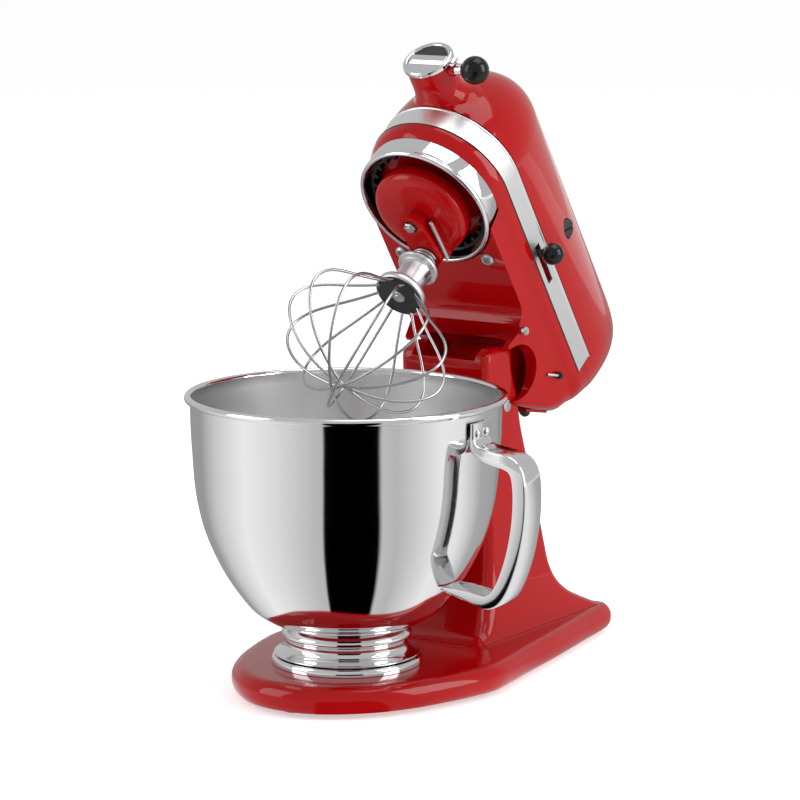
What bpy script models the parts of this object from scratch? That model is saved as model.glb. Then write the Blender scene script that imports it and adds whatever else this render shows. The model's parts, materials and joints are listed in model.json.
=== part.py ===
"""Tilt-head stand mixer with its head tilted back, a steel bowl and a wire whisk.

Frame: +Z up, -Y is the front, +X is the speed lever's side, and the origin is on the table under the bowl's axis.
Lengths below are in millimetres and angles in degrees; add_piece turns them into metres. Pieces of the head are drawn
with the head lowered, and their parent empty on the hinge pin then tilts them back by HEAD_TILT.
"""

import math

import bmesh
import bpy
from mathutils import Matrix, Vector

MM = 0.001
GAP = 0.3  # clearance between pieces that touch

# Head, in its lowered position
HEAD_TILT = 55.0
HINGE = (0.0, 148.0, 182.6)
SEAM_Z = 258.6
BAND_LOW, BAND_HIGH = 249.0, 268.3
BAND_END_Y = 175.0
NOSE_RADIUS = 54.0
RECESS = 2.2
DOME_HEIGHT = 85.0
DOME_REAR_Y = 226.0
REAR_SQUARENESS = 2.8
END_STEPS = 10
HOUSING_WALL = 3.2
RING_TOP_Z = 238.0
FLOOR_TOP_Z = 242.0
MOTOR_Z = 302.0
HUB_Z = 285.7
HUB_RADIUS = 16.8
HUB_FRONT_Y = -79.0
CAP_RADIUS = 18.3
CAP_FRONT_Y = -83.4
CASE_SCREWS = ((36.0, 45.0), (-36.0, 45.0))
BRUSH_Y = 82.6

# Drive
PLANET_OFFSET = 27.0
PLANET_ANGLE = 84.0
PLANETARY_RADIUS = 35.5
SHAFT_RADIUS = 6.0
RING_TEETH, PLANET_TEETH = 27, 9
PLANET_MODULE = 3.0
CENTRE_TEETH, PINION_TEETH = 27, 9
CENTRE_MODULE = 2.0
WORM_STARTS, WHEEL_TEETH = 3, 18
WORM_MODULE = 2.0
WORM_RADIUS = 7.0
BEVEL_TEETH = 12

# Whisk, as seen along its own axis: radius and height
WHISK_TOP_Z = 160.2
WHISK_PROFILE = (
    (15.5, 159.0), (24.0, 151.2), (34.0, 142.6), (44.5, 134.0), (53.5, 124.5), (58.6, 114.0), (59.2, 103.5),
    (55.8, 93.5), (48.6, 83.5), (38.8, 75.0), (27.0, 68.5), (14.0, 64.0),
)
WHISK_TIP_Z = 61.5
WHISK_LOOPS = 6
WIRE_RADIUS = 1.0

# Bowl
RIM_RADIUS = 110.5
RIM_TUBE = 2.5
RIM_Z = 207.0
BOWL_WALL = 1.2
BOWL_PROFILE = (
    (106.6, 200.0), (106.0, 182.0), (105.0, 165.0), (103.8, 148.0), (101.4, 132.0), (97.0, 115.0),
    (90.3, 98.5), (81.5, 82.0), (75.5, 73.0), (69.0, 64.5), (61.0, 57.0), (50.0, 50.5), (44.0, 48.6),
)
HANDLE_WIDTH = 22.0
HANDLE_THICKNESS = 2.6
HANDLE_PATH = (
    (107.4, 199.5), (107.4, 186.5), (111.0, 181.8), (135.0, 178.6), (142.4, 174.5), (146.5, 166.8), (147.7, 152.0),
    (146.4, 132.3), (142.0, 110.9), (135.2, 92.3), (127.9, 81.2), (121.4, 77.6), (114.2, 78.0), (84.8, 86.4),
)

# Base and column
BASE_TOP_Z = 22.0
BASE_BOTTOM_Z = 4.0
BASE_OUTLINE = (
    (0.0, -82.0), (21.0, -79.0), (41.0, -68.0), (60.0, -49.0), (73.0, -27.0), (82.0, -4.0), (89.5, 22.0),
    (93.5, 46.0), (90.0, 74.0), (85.5, 100.0), (79.0, 147.0), (73.5, 180.0), (68.5, 209.0), (62.5, 246.0),
    (58.0, 255.5), (49.0, 258.0), (0.0, 258.0),
)
PLATE_RADIUS = 52.0
# Column sections: height, half-width, front y, rear y, corner radius
COLUMN_SECTIONS = (
    (22.3, 57.0, 82.0, 250.0, 10.0), (26.0, 55.6, 88.0, 244.0, 11.0), (31.0, 54.2, 94.0, 231.0, 12.0),
    (38.0, 52.2, 100.0, 217.0, 12.0), (48.0, 49.6, 106.0, 204.5, 11.0), (62.0, 47.0, 111.0, 196.5, 10.0),
    (85.0, 44.8, 115.0, 190.5, 9.0), (109.0, 42.4, 118.0, 185.0, 8.0), (135.0, 39.4, 120.0, 178.5, 7.0),
    (162.0, 37.2, 121.0, 171.0, 6.0), (178.0, 37.0, 121.0, 167.0, 6.0), (193.0, 37.0, 121.0, 162.5, 6.0),
    (206.0, 37.0, 121.0, 157.5, 6.0), (218.0, 37.0, 121.0, 156.0, 6.0), (222.5, 36.5, 124.5, 154.8, 6.0),
    (225.2, 35.0, 131.0, 151.5, 6.0),
)
EAR_INNER_X = 26.5
NECK_BAR_REAR_Y = 130.0
NECK_BAR_TOP_Z = 217.5
YOKE_FLOOR_Z = 158.0

RED = ("red_enamel", (0.55, 0.015, 0.02), 0.0, 0.2)
CHROME = ("chrome_trim", (0.85, 0.85, 0.86), 1.0, 0.12)
BOWL_STEEL = ("polished_steel", (0.78, 0.78, 0.78), 1.0, 0.15)
STEEL = ("machined_steel", (0.55, 0.55, 0.56), 1.0, 0.35)
BLACK = ("black_plastic", (0.02, 0.02, 0.02), 0.0, 0.25)
RUBBER = ("foot_rubber", (0.03, 0.03, 0.03), 0.0, 0.8)
BRASS = ("gear_bronze", (0.6, 0.42, 0.16), 1.0, 0.4)
COPPER = ("motor_windings", (0.6, 0.26, 0.12), 1.0, 0.4)
LAMINATIONS = ("motor_iron", (0.3, 0.3, 0.31), 1.0, 0.5)
CARBON = ("carbon", (0.05, 0.05, 0.05), 0.0, 0.6)
BOARD = ("control_board", (0.35, 0.2, 0.08), 0.0, 0.6)


# ---------------------------------------------------------------- helpers

def clear_scene():
    for obj in list(bpy.data.objects):
        bpy.data.objects.remove(obj, do_unlink=True)


def material_of(finish):
    name, colour, metallic, roughness = finish
    found = bpy.data.materials.get(name)
    if found:
        return found
    made = bpy.data.materials.new(name)
    made.use_nodes = True
    shader = made.node_tree.nodes["Principled BSDF"]
    shader.inputs["Base Color"].default_value = (*colour, 1.0)
    shader.inputs["Metallic"].default_value = metallic
    shader.inputs["Roughness"].default_value = roughness
    return made


def add_piece(name, shape, finish, origin=(0.0, 0.0, 0.0), parent=None, smooth=35.0):
    """Makes an object of a bmesh drawn in millimetres in the machine's frame, with its origin at the given point."""
    bmesh.ops.translate(shape, verts=shape.verts, vec=-Vector(origin))
    bmesh.ops.scale(shape, verts=shape.verts, vec=(MM, MM, MM))
    mesh = bpy.data.meshes.new(name)
    shape.to_mesh(mesh)
    shape.free()
    if smooth:
        mesh.shade_smooth()
        mesh.set_sharp_from_angle(angle=math.radians(smooth))
    mesh.materials.append(material_of(finish))
    obj = bpy.data.objects.new(name, mesh)
    bpy.context.scene.collection.objects.link(obj)
    base = Vector(HINGE) if parent else Vector()
    obj.location = (Vector(origin) - base) * MM
    obj.parent = parent
    return obj


def cut(piece, name, shape, operation="DIFFERENCE", solver="EXACT"):
    """Applies a hidden helper shape, drawn like its piece, to the piece by a Boolean."""
    helper = add_piece(name, shape, RED, parent=piece.parent, smooth=0)
    helper.hide_render = True
    helper.display_type = "WIRE"
    boolean = piece.modifiers.new(name, "BOOLEAN")
    boolean.operation = operation
    boolean.object = helper
    boolean.solver = solver


def loft(loops):
    """A closed solid through loops of equal length, with flat ends."""
    shape = bmesh.new()
    rows = [[shape.verts.new(point) for point in loop] for loop in loops]
    for lower, upper in zip(rows, rows[1:]):
        for i, corner in enumerate(lower):
            after = (i + 1) % len(lower)
            shape.faces.new((corner, lower[after], upper[after], upper[i]))
    shape.faces.new(rows[0])
    shape.faces.new(rows[-1])
    bmesh.ops.recalc_face_normals(shape, faces=shape.faces)
    return shape


def turned(profile, steps=32, closed=False, centre=(0.0, 0.0), axis="Z"):
    """A profile of (radius, height) pairs spun about a line through centre, along Z, X or -Y."""
    shape = bmesh.new()
    verts = [shape.verts.new((radius, 0.0, height)) for radius, height in profile]
    edges = [shape.edges.new(pair) for pair in zip(verts, verts[1:])]
    if closed:
        edges.append(shape.edges.new((verts[-1], verts[0])))
    bmesh.ops.spin(
        shape, geom=verts + edges, cent=(0, 0, 0), axis=(0, 0, 1), angle=2 * math.pi, steps=steps, use_merge=True
    )
    bmesh.ops.remove_doubles(shape, verts=shape.verts, dist=1e-4)
    bmesh.ops.recalc_face_normals(shape, faces=shape.faces)
    if axis == "X":
        shape.transform(Matrix.Rotation(math.radians(90), 4, "Y"))
        bmesh.ops.translate(shape, verts=shape.verts, vec=(0.0, *centre))
    elif axis == "-Y":
        shape.transform(Matrix.Rotation(math.radians(90), 4, "X"))
        bmesh.ops.translate(shape, verts=shape.verts, vec=(centre[0], 0.0, centre[1]))
    else:
        bmesh.ops.translate(shape, verts=shape.verts, vec=(*centre, 0.0))
    return shape


def rod(radius, low, high, centre=(0.0, 0.0), axis="Z", steps=20):
    return turned(((0, high), (radius, high), (radius, low), (0, low)), steps, False, centre, axis)


def ring(outer, inner, low, high, centre=(0.0, 0.0), axis="Z", steps=32):
    return turned(((outer, high), (outer, low), (inner, low), (inner, high)), steps, True, centre, axis)


def block(low, high):
    shape = bmesh.new()
    bmesh.ops.create_cube(shape, size=1.0)
    sides = Vector(high) - Vector(low)
    bmesh.ops.scale(shape, verts=shape.verts, vec=sides)
    bmesh.ops.translate(shape, verts=shape.verts, vec=(Vector(low) + Vector(high)) / 2)
    return shape


def side_prism(outline, half_width):
    """An outline of (y, z) pairs carried from -half_width to +half_width along X."""
    return loft([[(x, y, z) for y, z in outline] for x in (-half_width, half_width)])


def joined(*shapes):
    """One bmesh that holds several separate shapes, for use as a cutter."""
    whole = shapes[0]
    for shape in shapes[1:]:
        mesh = bpy.data.meshes.new("joined")
        shape.to_mesh(mesh)
        shape.free()
        whole.from_mesh(mesh)
        bpy.data.meshes.remove(mesh)
    return whole


def arc(centre, radius, start, end, steps):
    """Points on an arc, from start to end in degrees."""
    angles = (math.radians(start + (end - start) * i / steps) for i in range(steps + 1))
    return [(centre[0] + radius * math.cos(a), centre[1] + radius * math.sin(a)) for a in angles]


def rounded_rectangle(half_width, front, rear, radius, steps=4):
    corners = (
        ((half_width - radius, rear - radius), 0), ((-half_width + radius, rear - radius), 90),
        ((-half_width + radius, front + radius), 180), ((half_width - radius, front + radius), 270),
    )
    return [point for centre, start in corners for point in arc(centre, radius, start, start + 90, steps)]


def gear_outline(teeth, root, tip, phase=0.0, tooth_share=0.4, tip_share=0.22):
    """A toothed circle: tooth_share and tip_share are a tooth's width at root and tip, in pitches."""
    outline = []
    for tooth in range(teeth):
        for offset, radius in ((-tooth_share, root), (-tip_share, tip), (tip_share, tip), (tooth_share, root)):
            angle = math.radians(phase) + (tooth + offset / 2) * 2 * math.pi / teeth
            outline.append((radius * math.cos(angle), radius * math.sin(angle)))
    return outline


def gear(layers, centre=(0.0, 0.0)):
    """A gear along Z lofted through layers of (height, outline)."""
    return loft([[(centre[0] + x, centre[1] + y, z) for x, y in outline] for z, outline in layers])


# ---------------------------------------------------------------- base and column

def base_loop(height, grow):
    """The base's outline at one height, moved outwards by grow."""
    half = [Vector((x, y)) for x, y in BASE_OUTLINE]
    whole = half + [Vector((-p.x, p.y)) for p in reversed(half[1:-1])]
    loop = []
    for i, point in enumerate(whole):
        along = whole[(i + 1) % len(whole)] - whole[i - 1]
        outward = Vector((along.y, -along.x)).normalized()
        moved = point + outward * grow
        loop.append((moved.x, moved.y, height))
    return loop


def build_base():
    levels = ((BASE_BOTTOM_Z, 0.0), (9.0, 2.4), (16.0, 2.0), (20.5, -1.4), (BASE_TOP_Z, -5.0))
    base = add_piece("base_casting", loft([base_loop(z, grow) for z, grow in levels]), RED)
    cut(base, "base_hollow", loft([base_loop(z, -5.0) for z in (BASE_BOTTOM_Z - 1, 16.5)]))
    places = ((0.0, 0.0), (0.0, -62.0), (72.0, 40.0), (-72.0, 40.0), (48.0, 236.0), (-48.0, 236.0))
    cut(base, "foot_bosses", joined(*(rod(9.5, 6.0, 18.0, place, steps=12) for place in places)), "UNION")
    names = ("foot_centre", "foot_front", "foot_left", "foot_right", "foot_rear_left", "foot_rear_right")
    for name, place in zip(names, places):
        profile = ((0, 6.0 - GAP), (9.0, 6.0 - GAP), (9.0, 1.0), (8.0, 0.0), (0, 0.0))
        add_piece(name, turned(profile, 12, centre=place), RUBBER)


def build_column():
    sections = [
        [(x, y, height) for x, y in rounded_rectangle(half_width, front, rear, radius, 3)]
        for height, half_width, front, rear, radius in COLUMN_SECTIONS
    ]
    column = add_piece("column", loft(sections), RED)
    yoke = block((-EAR_INNER_X, NECK_BAR_REAR_Y, YOKE_FLOOR_Z), (EAR_INNER_X, 180.0, 240.0))
    above_bar = block((-EAR_INNER_X, 110.0, NECK_BAR_TOP_Z), (EAR_INNER_X, 180.0, 240.0))
    cut(column, "yoke_gap", yoke)
    cut(column, "neck_bar_top", above_bar)
    cut(column, "pin_bore", rod(4.8, -50.0, 50.0, HINGE[1:], "X"))
    cut(column, "column_hollow", block((-29.0, 130.0, 20.0), (29.0, 164.0, 140.0)))
    add_piece("hinge_pin", rod(4.5, -37.6, 37.6, HINGE[1:], "X"), STEEL, HINGE)


def build_clamp_plate():
    profile = (
        (0, 24.4), (47.9, 24.4), (47.9, 27.4), (50.4, 27.4), (PLATE_RADIUS, 26.2),
        (PLATE_RADIUS, BASE_TOP_Z + GAP), (0, BASE_TOP_Z + GAP),
    )
    plate = add_piece("bowl_clamp_plate", turned(profile[::-1], 28), CHROME)
    tabs = []
    for quarter in range(4):
        start = 22.5 + 90.0 * quarter
        outline = arc((0, 0), 48.7, start, start + 35, 2) + arc((0, 0), 45.1, start + 35, start, 2)
        tabs.append(loft([[(x, y, z) for x, y in outline] for z in (26.5, 27.2)]))
    cut(plate, "bayonet_tabs", joined(*tabs), "UNION")
    screws = [(30.0 * math.cos(a), 30.0 * math.sin(a)) for a in (math.radians(90 + 120 * i) for i in range(3))]
    cut(plate, "screw_holes", joined(*(rod(2.3, 20.0, 30.0, place, steps=12) for place in screws)))
    for i, place in enumerate(screws, 1):
        head = ((0, 26.4), (3.0, 26.2), (4.2, 24.4 + GAP), (2.0, 24.4 + GAP), (2.0, 22.3), (0, 22.3))
        add_piece(f"clamp_plate_screw_{i}", turned(head, 12, centre=place), STEEL)


# ---------------------------------------------------------------- bowl

def build_bowl():
    tube = RIM_RADIUS - RIM_TUBE
    roll = arc((tube, RIM_Z), RIM_TUBE, 190, -80, 5)
    outer = list(roll) + list(BOWL_PROFILE) + [(0, 48.6)]
    inner = [(r - BOWL_WALL, z + 0.4) for r, z in BOWL_PROFILE[:-1:2]]
    inner[0] = (inner[0][0], RIM_Z - 4.0)
    profile = outer + [(0, 53.0), (18.0, 51.2)] + [(42.0, 50.6)] + inner[:0:-1] + [inner[0]]
    add_piece("bowl_shell", turned(close_axis(profile), 28), BOWL_STEEL)
    foot = (
        (44.2, 24.4 + GAP), (44.2, 27.8), (50.0, 28.4), (50.0, 29.6), (43.4, 33.0), (42.2, 36.0), (43.0, 39.5),
        (45.0, 42.0), (44.6, 45.0), (41.0, 48.6 - GAP), (37.5, 48.6 - GAP), (37.5, 28.0), (36.0, 24.4 + GAP),
    )
    ring_piece = add_piece("bowl_foot_ring", turned(foot[::-1], 20, True), CHROME)
    lugs = []
    for quarter in range(4):
        start = 22.5 + 90.0 * quarter
        outline = arc((0, 0), 47.2, start, start + 35, 2) + arc((0, 0), 43.0, start + 35, start, 2)
        lugs.append(loft([[(x, y, z) for x, y in outline] for z in (24.4 + GAP, 26.1)]))
    cut(ring_piece, "bayonet_lugs", joined(*lugs), "UNION")


def close_axis(profile):
    """Puts the profile's inner run after its outer run as one open line that starts and ends on the axis."""
    split = next(i for i, (radius, _) in enumerate(profile) if radius == 0)
    return profile[split + 1:] + profile[:split + 1]


def strip_outline(path, thickness):
    """Both sides of a strip whose inner face follows a path of (radius, height) pairs."""
    points = [Vector(p) for p in path]
    outer = []
    for i, point in enumerate(points):
        along = points[min(i + 1, len(points) - 1)] - points[max(i - 1, 0)]
        outer.append(point + Vector((-along.y, along.x)).normalized() * thickness)
    return [tuple(p) for p in points] + [tuple(p) for p in reversed(outer)]


def build_handle():
    outline = strip_outline(HANDLE_PATH, HANDLE_THICKNESS)
    half = HANDLE_WIDTH / 2
    strip = loft([[(x, y, z) for x, z in outline] for y in (-half, half)])
    handle = add_piece("bowl_handle", strip, BOWL_STEEL)
    places = ((-5.5, 192.5), (5.5, 192.5))
    cut(handle, "rivet_holes", joined(*(rod(1.8, 100.0, 112.0, place, "X", 12) for place in places)))
    for name, place in zip(("handle_rivet_front", "handle_rivet_rear"), places):
        profile = ((0, 112.0), (2.2, 111.6), (3.0, 110.3 + GAP), (1.5, 110.3 + GAP), (1.5, 107.0), (0, 107.0))
        add_piece(name, turned(profile, 12, False, place, "X"), STEEL)


# ---------------------------------------------------------------- housings

def rear_y(height):
    """Where the head ends behind, at one height."""
    if height >= 330.0:
        return DOME_REAR_Y - 36.0 * ((height - 330.0) / 23.3) ** 2.2
    if height >= BAND_HIGH:
        return DOME_REAR_Y - 11.0 * (330.0 - height) / (330.0 - BAND_HIGH)
    if height >= 227.0:
        return 198.0 + 17.0 * (height - 227.0) / (BAND_HIGH - 227.0)
    return 198.0 - 41.0 * (227.0 - height) / 41.0


def half_width(height):
    """The head's half-width, which is also its nose's radius, at one height."""
    if height >= BAND_HIGH:
        return NOSE_RADIUS * math.sqrt(max(0.0, 1 - ((height - BAND_HIGH) / DOME_HEIGHT) ** 2))
    if height >= RING_TOP_Z:
        return 50.3 + 3.7 * math.sin(math.pi / 2 * min(1.0, (height - RING_TOP_Z) / 10.0))
    return 50.3 - 0.12 * (RING_TOP_Z - height)


def head_loop(height, inset=0.0, recess=0.0):
    """The head's outline at one height: a round nose, straight sides and a squared rear end."""
    width = half_width(height) - inset
    front = max(width - recess, 0.4)
    width = max(width, 0.5)
    straight = min(BAND_END_Y, rear_y(height) - 12.0)
    rear = max(rear_y(height) - inset - straight, 3.0)
    nose = [(x, y, height) for x, y in arc((0, 0), front, 180, 360, 14)]
    right_side = [(front, straight * i / 2, height) for i in (1, 2)]
    left_side = [(-x, y, height) for x, y, _ in reversed(right_side)]
    end = []
    for i in range(END_STEPS + 1):
        angle = math.pi * i / END_STEPS
        across = math.copysign(abs(math.cos(angle)) ** (2 / REAR_SQUARENESS), math.cos(angle))
        back = math.sin(angle) ** (2 / REAR_SQUARENESS)
        end.append((width * across, straight + 0.3 + rear * back, height))
    return nose + right_side + end + left_side


def lever_slots():
    return joined(
        block((40.0, 60.0, 254.6), (70.0, 94.0, 260.6)),
        block((-70.0, 60.0, 254.6), (-40.0, 94.0, 260.6)),
    )


def build_motor_housing(head):
    levels = [SEAM_Z + GAP, BAND_HIGH - 0.1]
    shell = [head_loop(z, recess=RECESS) for z in levels]
    heights = [BAND_HIGH + DOME_HEIGHT * math.sin(math.radians(a)) for a in (0.4, 15, 30, 44, 57, 69, 79)]
    shell += [head_loop(z) for z in heights] + [head_loop(BAND_HIGH + DOME_HEIGHT * 0.9995)]
    housing = add_piece("motor_housing", loft(shell), RED, parent=head)
    flare = (
        (0, 79.0), (HUB_RADIUS, 79.0), (HUB_RADIUS, 62.0), (18.0, 55.0), (21.5, 49.0), (27.0, 44.0), (27.0, 25.0),
        (0, 25.0),
    )
    cut(housing, "hub_neck", turned(flare, 28, False, (0.0, HUB_Z), "-Y"), "UNION")
    seat = arc((0, 0), 75.0, 180, 360, 14) + arc((0, 0), NOSE_RADIUS - RECESS + GAP / 2, 360, 180, 14)
    cut(housing, "band_seat", loft([[(x, y, z) for x, y in seat] for z in (240.0, BAND_HIGH)]))
    cut(housing, "knob_boss", rod(4.9, 10.0, 20.5, (-74.0, HUB_Z), "X", 16), "UNION")
    inner = [head_loop(z, HOUSING_WALL + RECESS * 0.6) for z in (SEAM_Z - 1.0, BAND_HIGH)]
    inner += [head_loop(z, HOUSING_WALL) for z in heights[1:4] + heights[5:6]]
    cut(housing, "motor_space", loft(inner))
    cut(housing, "hub_bore", rod(12.4, 20.0, 85.0, (0.0, HUB_Z), "-Y"))
    cut(housing, "knob_hole", rod(3.4, 8.0, 30.0, (-74.0, HUB_Z), "X", 12), solver="MANIFOLD")
    cut(housing, "brush_holes", rod(7.6, -70.0, 70.0, (BRUSH_Y, MOTOR_Z), "X", 16), solver="MANIFOLD")
    cut(housing, "lever_slots_upper", lever_slots(), solver="MANIFOLD")


def build_gearcase(head):
    heights = (186.0, 190.0, 200.0, 213.0, 227.0, RING_TOP_Z, 240.0, 244.0, BAND_LOW - 0.2)
    insets = (7.0, 3.5, 2.0, 1.0, 0.0, 0.0, 0.0, 0.0, 0.0)
    shell = [head_loop(z, inset) for z, inset in zip(heights, insets)]
    shell += [head_loop(z, recess=RECESS) for z in (BAND_LOW, SEAM_Z)]
    case = add_piece("gearcase", loft(shell), RED, parent=head)
    cut(case, "drip_ring_seat", rod(51.3, 150.0, RING_TOP_Z, steps=48))
    under = (
        (-70.0, 150.0), (-70.0, 224.0), (86.0, 224.0), (95.0, 221.0), (100.5, 214.0), (103.0, 203.0), (103.0, 150.0),
    )
    cut(case, "underside", side_prism(under, 80.0))
    cut(case, "rim_clearance", rod(RIM_RADIUS + 3.8, 150.0, RIM_Z + RIM_TUBE + 6.5, steps=40))
    cut(case, "ear_notch", rod(21.0, -80.0, 80.0, (130.0, 198.0), "X", 32))
    cut(case, "ear_notch_mouth", block((-80.0, 100.0, 150.0), (80.0, 147.0, 200.0)))
    reach = 47.5
    sweep = [(HINGE[1] - reach, 150.0)] + arc(HINGE[1:], reach, 180, 59, 12) + [(HINGE[1] + 24.4, 150.0)]
    cut(case, "column_clearance", side_prism(sweep, 37.9))
    boss = [(129.5 + 3.0, 236.0), (129.5 + 3.0, 190.0)] + arc(HINGE[1:], 16.5, 180, 350, 8) + [(166.0, 236.0)]
    cut(case, "hinge_boss", side_prism(boss, EAR_INNER_X - GAP), "UNION")
    cut(case, "hinge_bore", rod(4.8, -50.0, 50.0, HINGE[1:], "X"))
    space = [head_loop(z, HOUSING_WALL + RECESS * 0.6) for z in (FLOOR_TOP_Z, BAND_LOW, SEAM_Z + 1.0)]
    cut(case, "gear_space", loft(space))
    cut(case, "shaft_bore", rod(12.3, 230.0, 245.0))
    opening = side_prism(((174.0, 214.0), (196.0, 237.0), (190.0, 250.0), (174.0, 250.0)), 30.0)
    holes = joined(*(rod(3.0, 200.0, 245.0, place, steps=8) for place in CASE_SCREWS))
    cut(case, "gland_hole", rod(3.4, -225.0, -195.0, (0.0, 240.0), "-Y", 12), solver="MANIFOLD")
    cut(case, "vent_opening", opening, solver="MANIFOLD")
    cut(case, "vent_seat", side_prism(vent_plate_outline(GAP), 34.3), solver="MANIFOLD")
    cut(case, "lever_slots_lower", lever_slots(), solver="MANIFOLD")
    cut(case, "case_screw_holes", holes, solver="MANIFOLD")
    for i, place in enumerate(CASE_SCREWS, 1):
        profile = (
            (0, 240.0), (2.6, 240.0), (2.6, 224.0 - GAP), (5.0, 224.0 - GAP), (5.0, 222.6), (3.8, 221.2), (0, 221.2),
        )
        add_piece(f"gearcase_screw_{i}", turned(profile, 12, centre=place), STEEL, parent=head)


def vent_plate_outline(grow):
    """The sloping vent plate's section, in y and z, inside the head's slanted rear underside."""
    low, high = Vector((173.0, 202.6)), Vector((193.2, 222.8))
    along = (high - low).normalized()
    inward = Vector((-along.y, along.x))
    low, high = low - along * grow, high + along * grow
    face = 1.0 if grow else 0.0
    depth = inward * (2.4 + grow)
    return [tuple(p) for p in (low - inward * face, high - inward * face, high + depth, low + depth)]


def build_vent_cover(head):
    cover = add_piece("vent_cover", side_prism(vent_plate_outline(0.0), 34.0), RED, parent=head, smooth=0)
    slots = [block((x - 1.6, 176.0, 195.0), (x + 1.6, 190.0, 240.0)) for x in (-24, -16, -8, 0, 8, 16, 24)]
    cut(cover, "vent_slots", joined(*slots))


def build_trim(head):
    def band_loop(height, outward):
        outer = NOSE_RADIUS - RECESS + outward
        side = [(outer, y, height) for y in (BAND_END_Y / 2, BAND_END_Y - GAP)]
        nose = [(x, y, height) for x, y in arc((0, 0), outer, 360, 180, 20)]
        return side[::-1] + nose + [(-x, y, z) for x, y, z in side]

    low, high = BAND_LOW + GAP, BAND_HIGH - GAP
    loops = [band_loop(z, GAP) + band_loop(z, RECESS + 0.4)[::-1] for z in (low, high)]
    band = add_piece("trim_band", loft(loops), CHROME, parent=head)
    cut(band, "lever_slots_band", lever_slots())
    profile = (
        (50.3, RING_TOP_Z - GAP), (50.1, 233.0), (49.2, 227.0), (48.2, 223.2), (47.3, 222.0), (46.3, 222.2),
        (45.9, 223.4), (46.8, RING_TOP_Z - GAP),
    )
    add_piece("drip_ring", turned(profile, 28, True), CHROME, parent=head)


def build_motor_parts(head):
    add_piece("motor_stator", ring(41.5, 18.5, -140.0, -98.0, (0.0, MOTOR_Z), "-Y", 24), LAMINATIONS, parent=head)
    add_piece("rear_bearing", ring(11.0, 4.3, -196.0, -188.0, (0.0, MOTOR_Z), "-Y", 16), STEEL, parent=head)
    add_piece("shaft_bearing", ring(12.0, SHAFT_RADIUS + GAP, RING_TOP_Z + 0.6, 252.0, steps=20), STEEL, parent=head)
    add_piece("control_board", block((-30.0, 104.0, 246.0), (30.0, 166.0, 248.5)), BOARD, parent=head, smooth=0)
    cap = ((0, 50.8), (5.6, 50.8), (7.2, 49.8), (7.2, 43.4), (0, 43.4))
    for name, side in (("left", 1.0), ("right", -1.0)):
        shape = turned(cap, 16, False, (BRUSH_Y, MOTOR_Z), "X")
        bmesh.ops.scale(shape, verts=shape.verts, vec=(side, 1, 1))
        bmesh.ops.recalc_face_normals(shape, faces=shape.faces)
        brush_cap = add_piece(f"brush_cap_{name}", shape, BLACK, parent=head)
        slot = block((49.4, BRUSH_Y - 0.9, MOTOR_Z - 9), (53.0, BRUSH_Y + 0.9, MOTOR_Z + 9))
        bmesh.ops.scale(slot, verts=slot.verts, vec=(side, 1, 1))
        bmesh.ops.recalc_face_normals(slot, faces=slot.faces)
        cut(brush_cap, f"cap_slot_{name}", slot)
        ends = sorted((side * 12.6, side * (43.4 - GAP)))
        brush = block((ends[0], BRUSH_Y - 4.0, MOTOR_Z - 3.0), (ends[1], BRUSH_Y + 4.0, MOTOR_Z + 3.0))
        add_piece(f"carbon_brush_{name}", brush, CARBON, parent=head, smooth=0)
    gland = ((0, 9.0), (3.2, 9.0), (4.4, 6.0), (4.4, 0.0), (3.0, 0.0), (3.0, -6.0), (0, -6.0))
    shape = turned(gland, 12)
    shape.transform(Matrix.Rotation(math.radians(-90), 4, "X"))
    bmesh.ops.translate(shape, verts=shape.verts, vec=(0.0, rear_y(240.0) + 2.4, 240.0))
    add_piece("cord_gland", shape, BLACK, parent=head)


# ---------------------------------------------------------------- drive

def planet_centre():
    angle = math.radians(PLANET_ANGLE)
    return (PLANET_OFFSET * math.cos(angle), PLANET_OFFSET * math.sin(angle))


def wheel_centre():
    """The worm wheel's axis: one worm distance from the motor, one gear distance from the centre gear."""
    gap = CENTRE_MODULE * (CENTRE_TEETH + PINION_TEETH) / 2
    across = WORM_RADIUS + WORM_MODULE * WHEEL_TEETH / 2
    return (across, math.sqrt(gap**2 - across**2))


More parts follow.
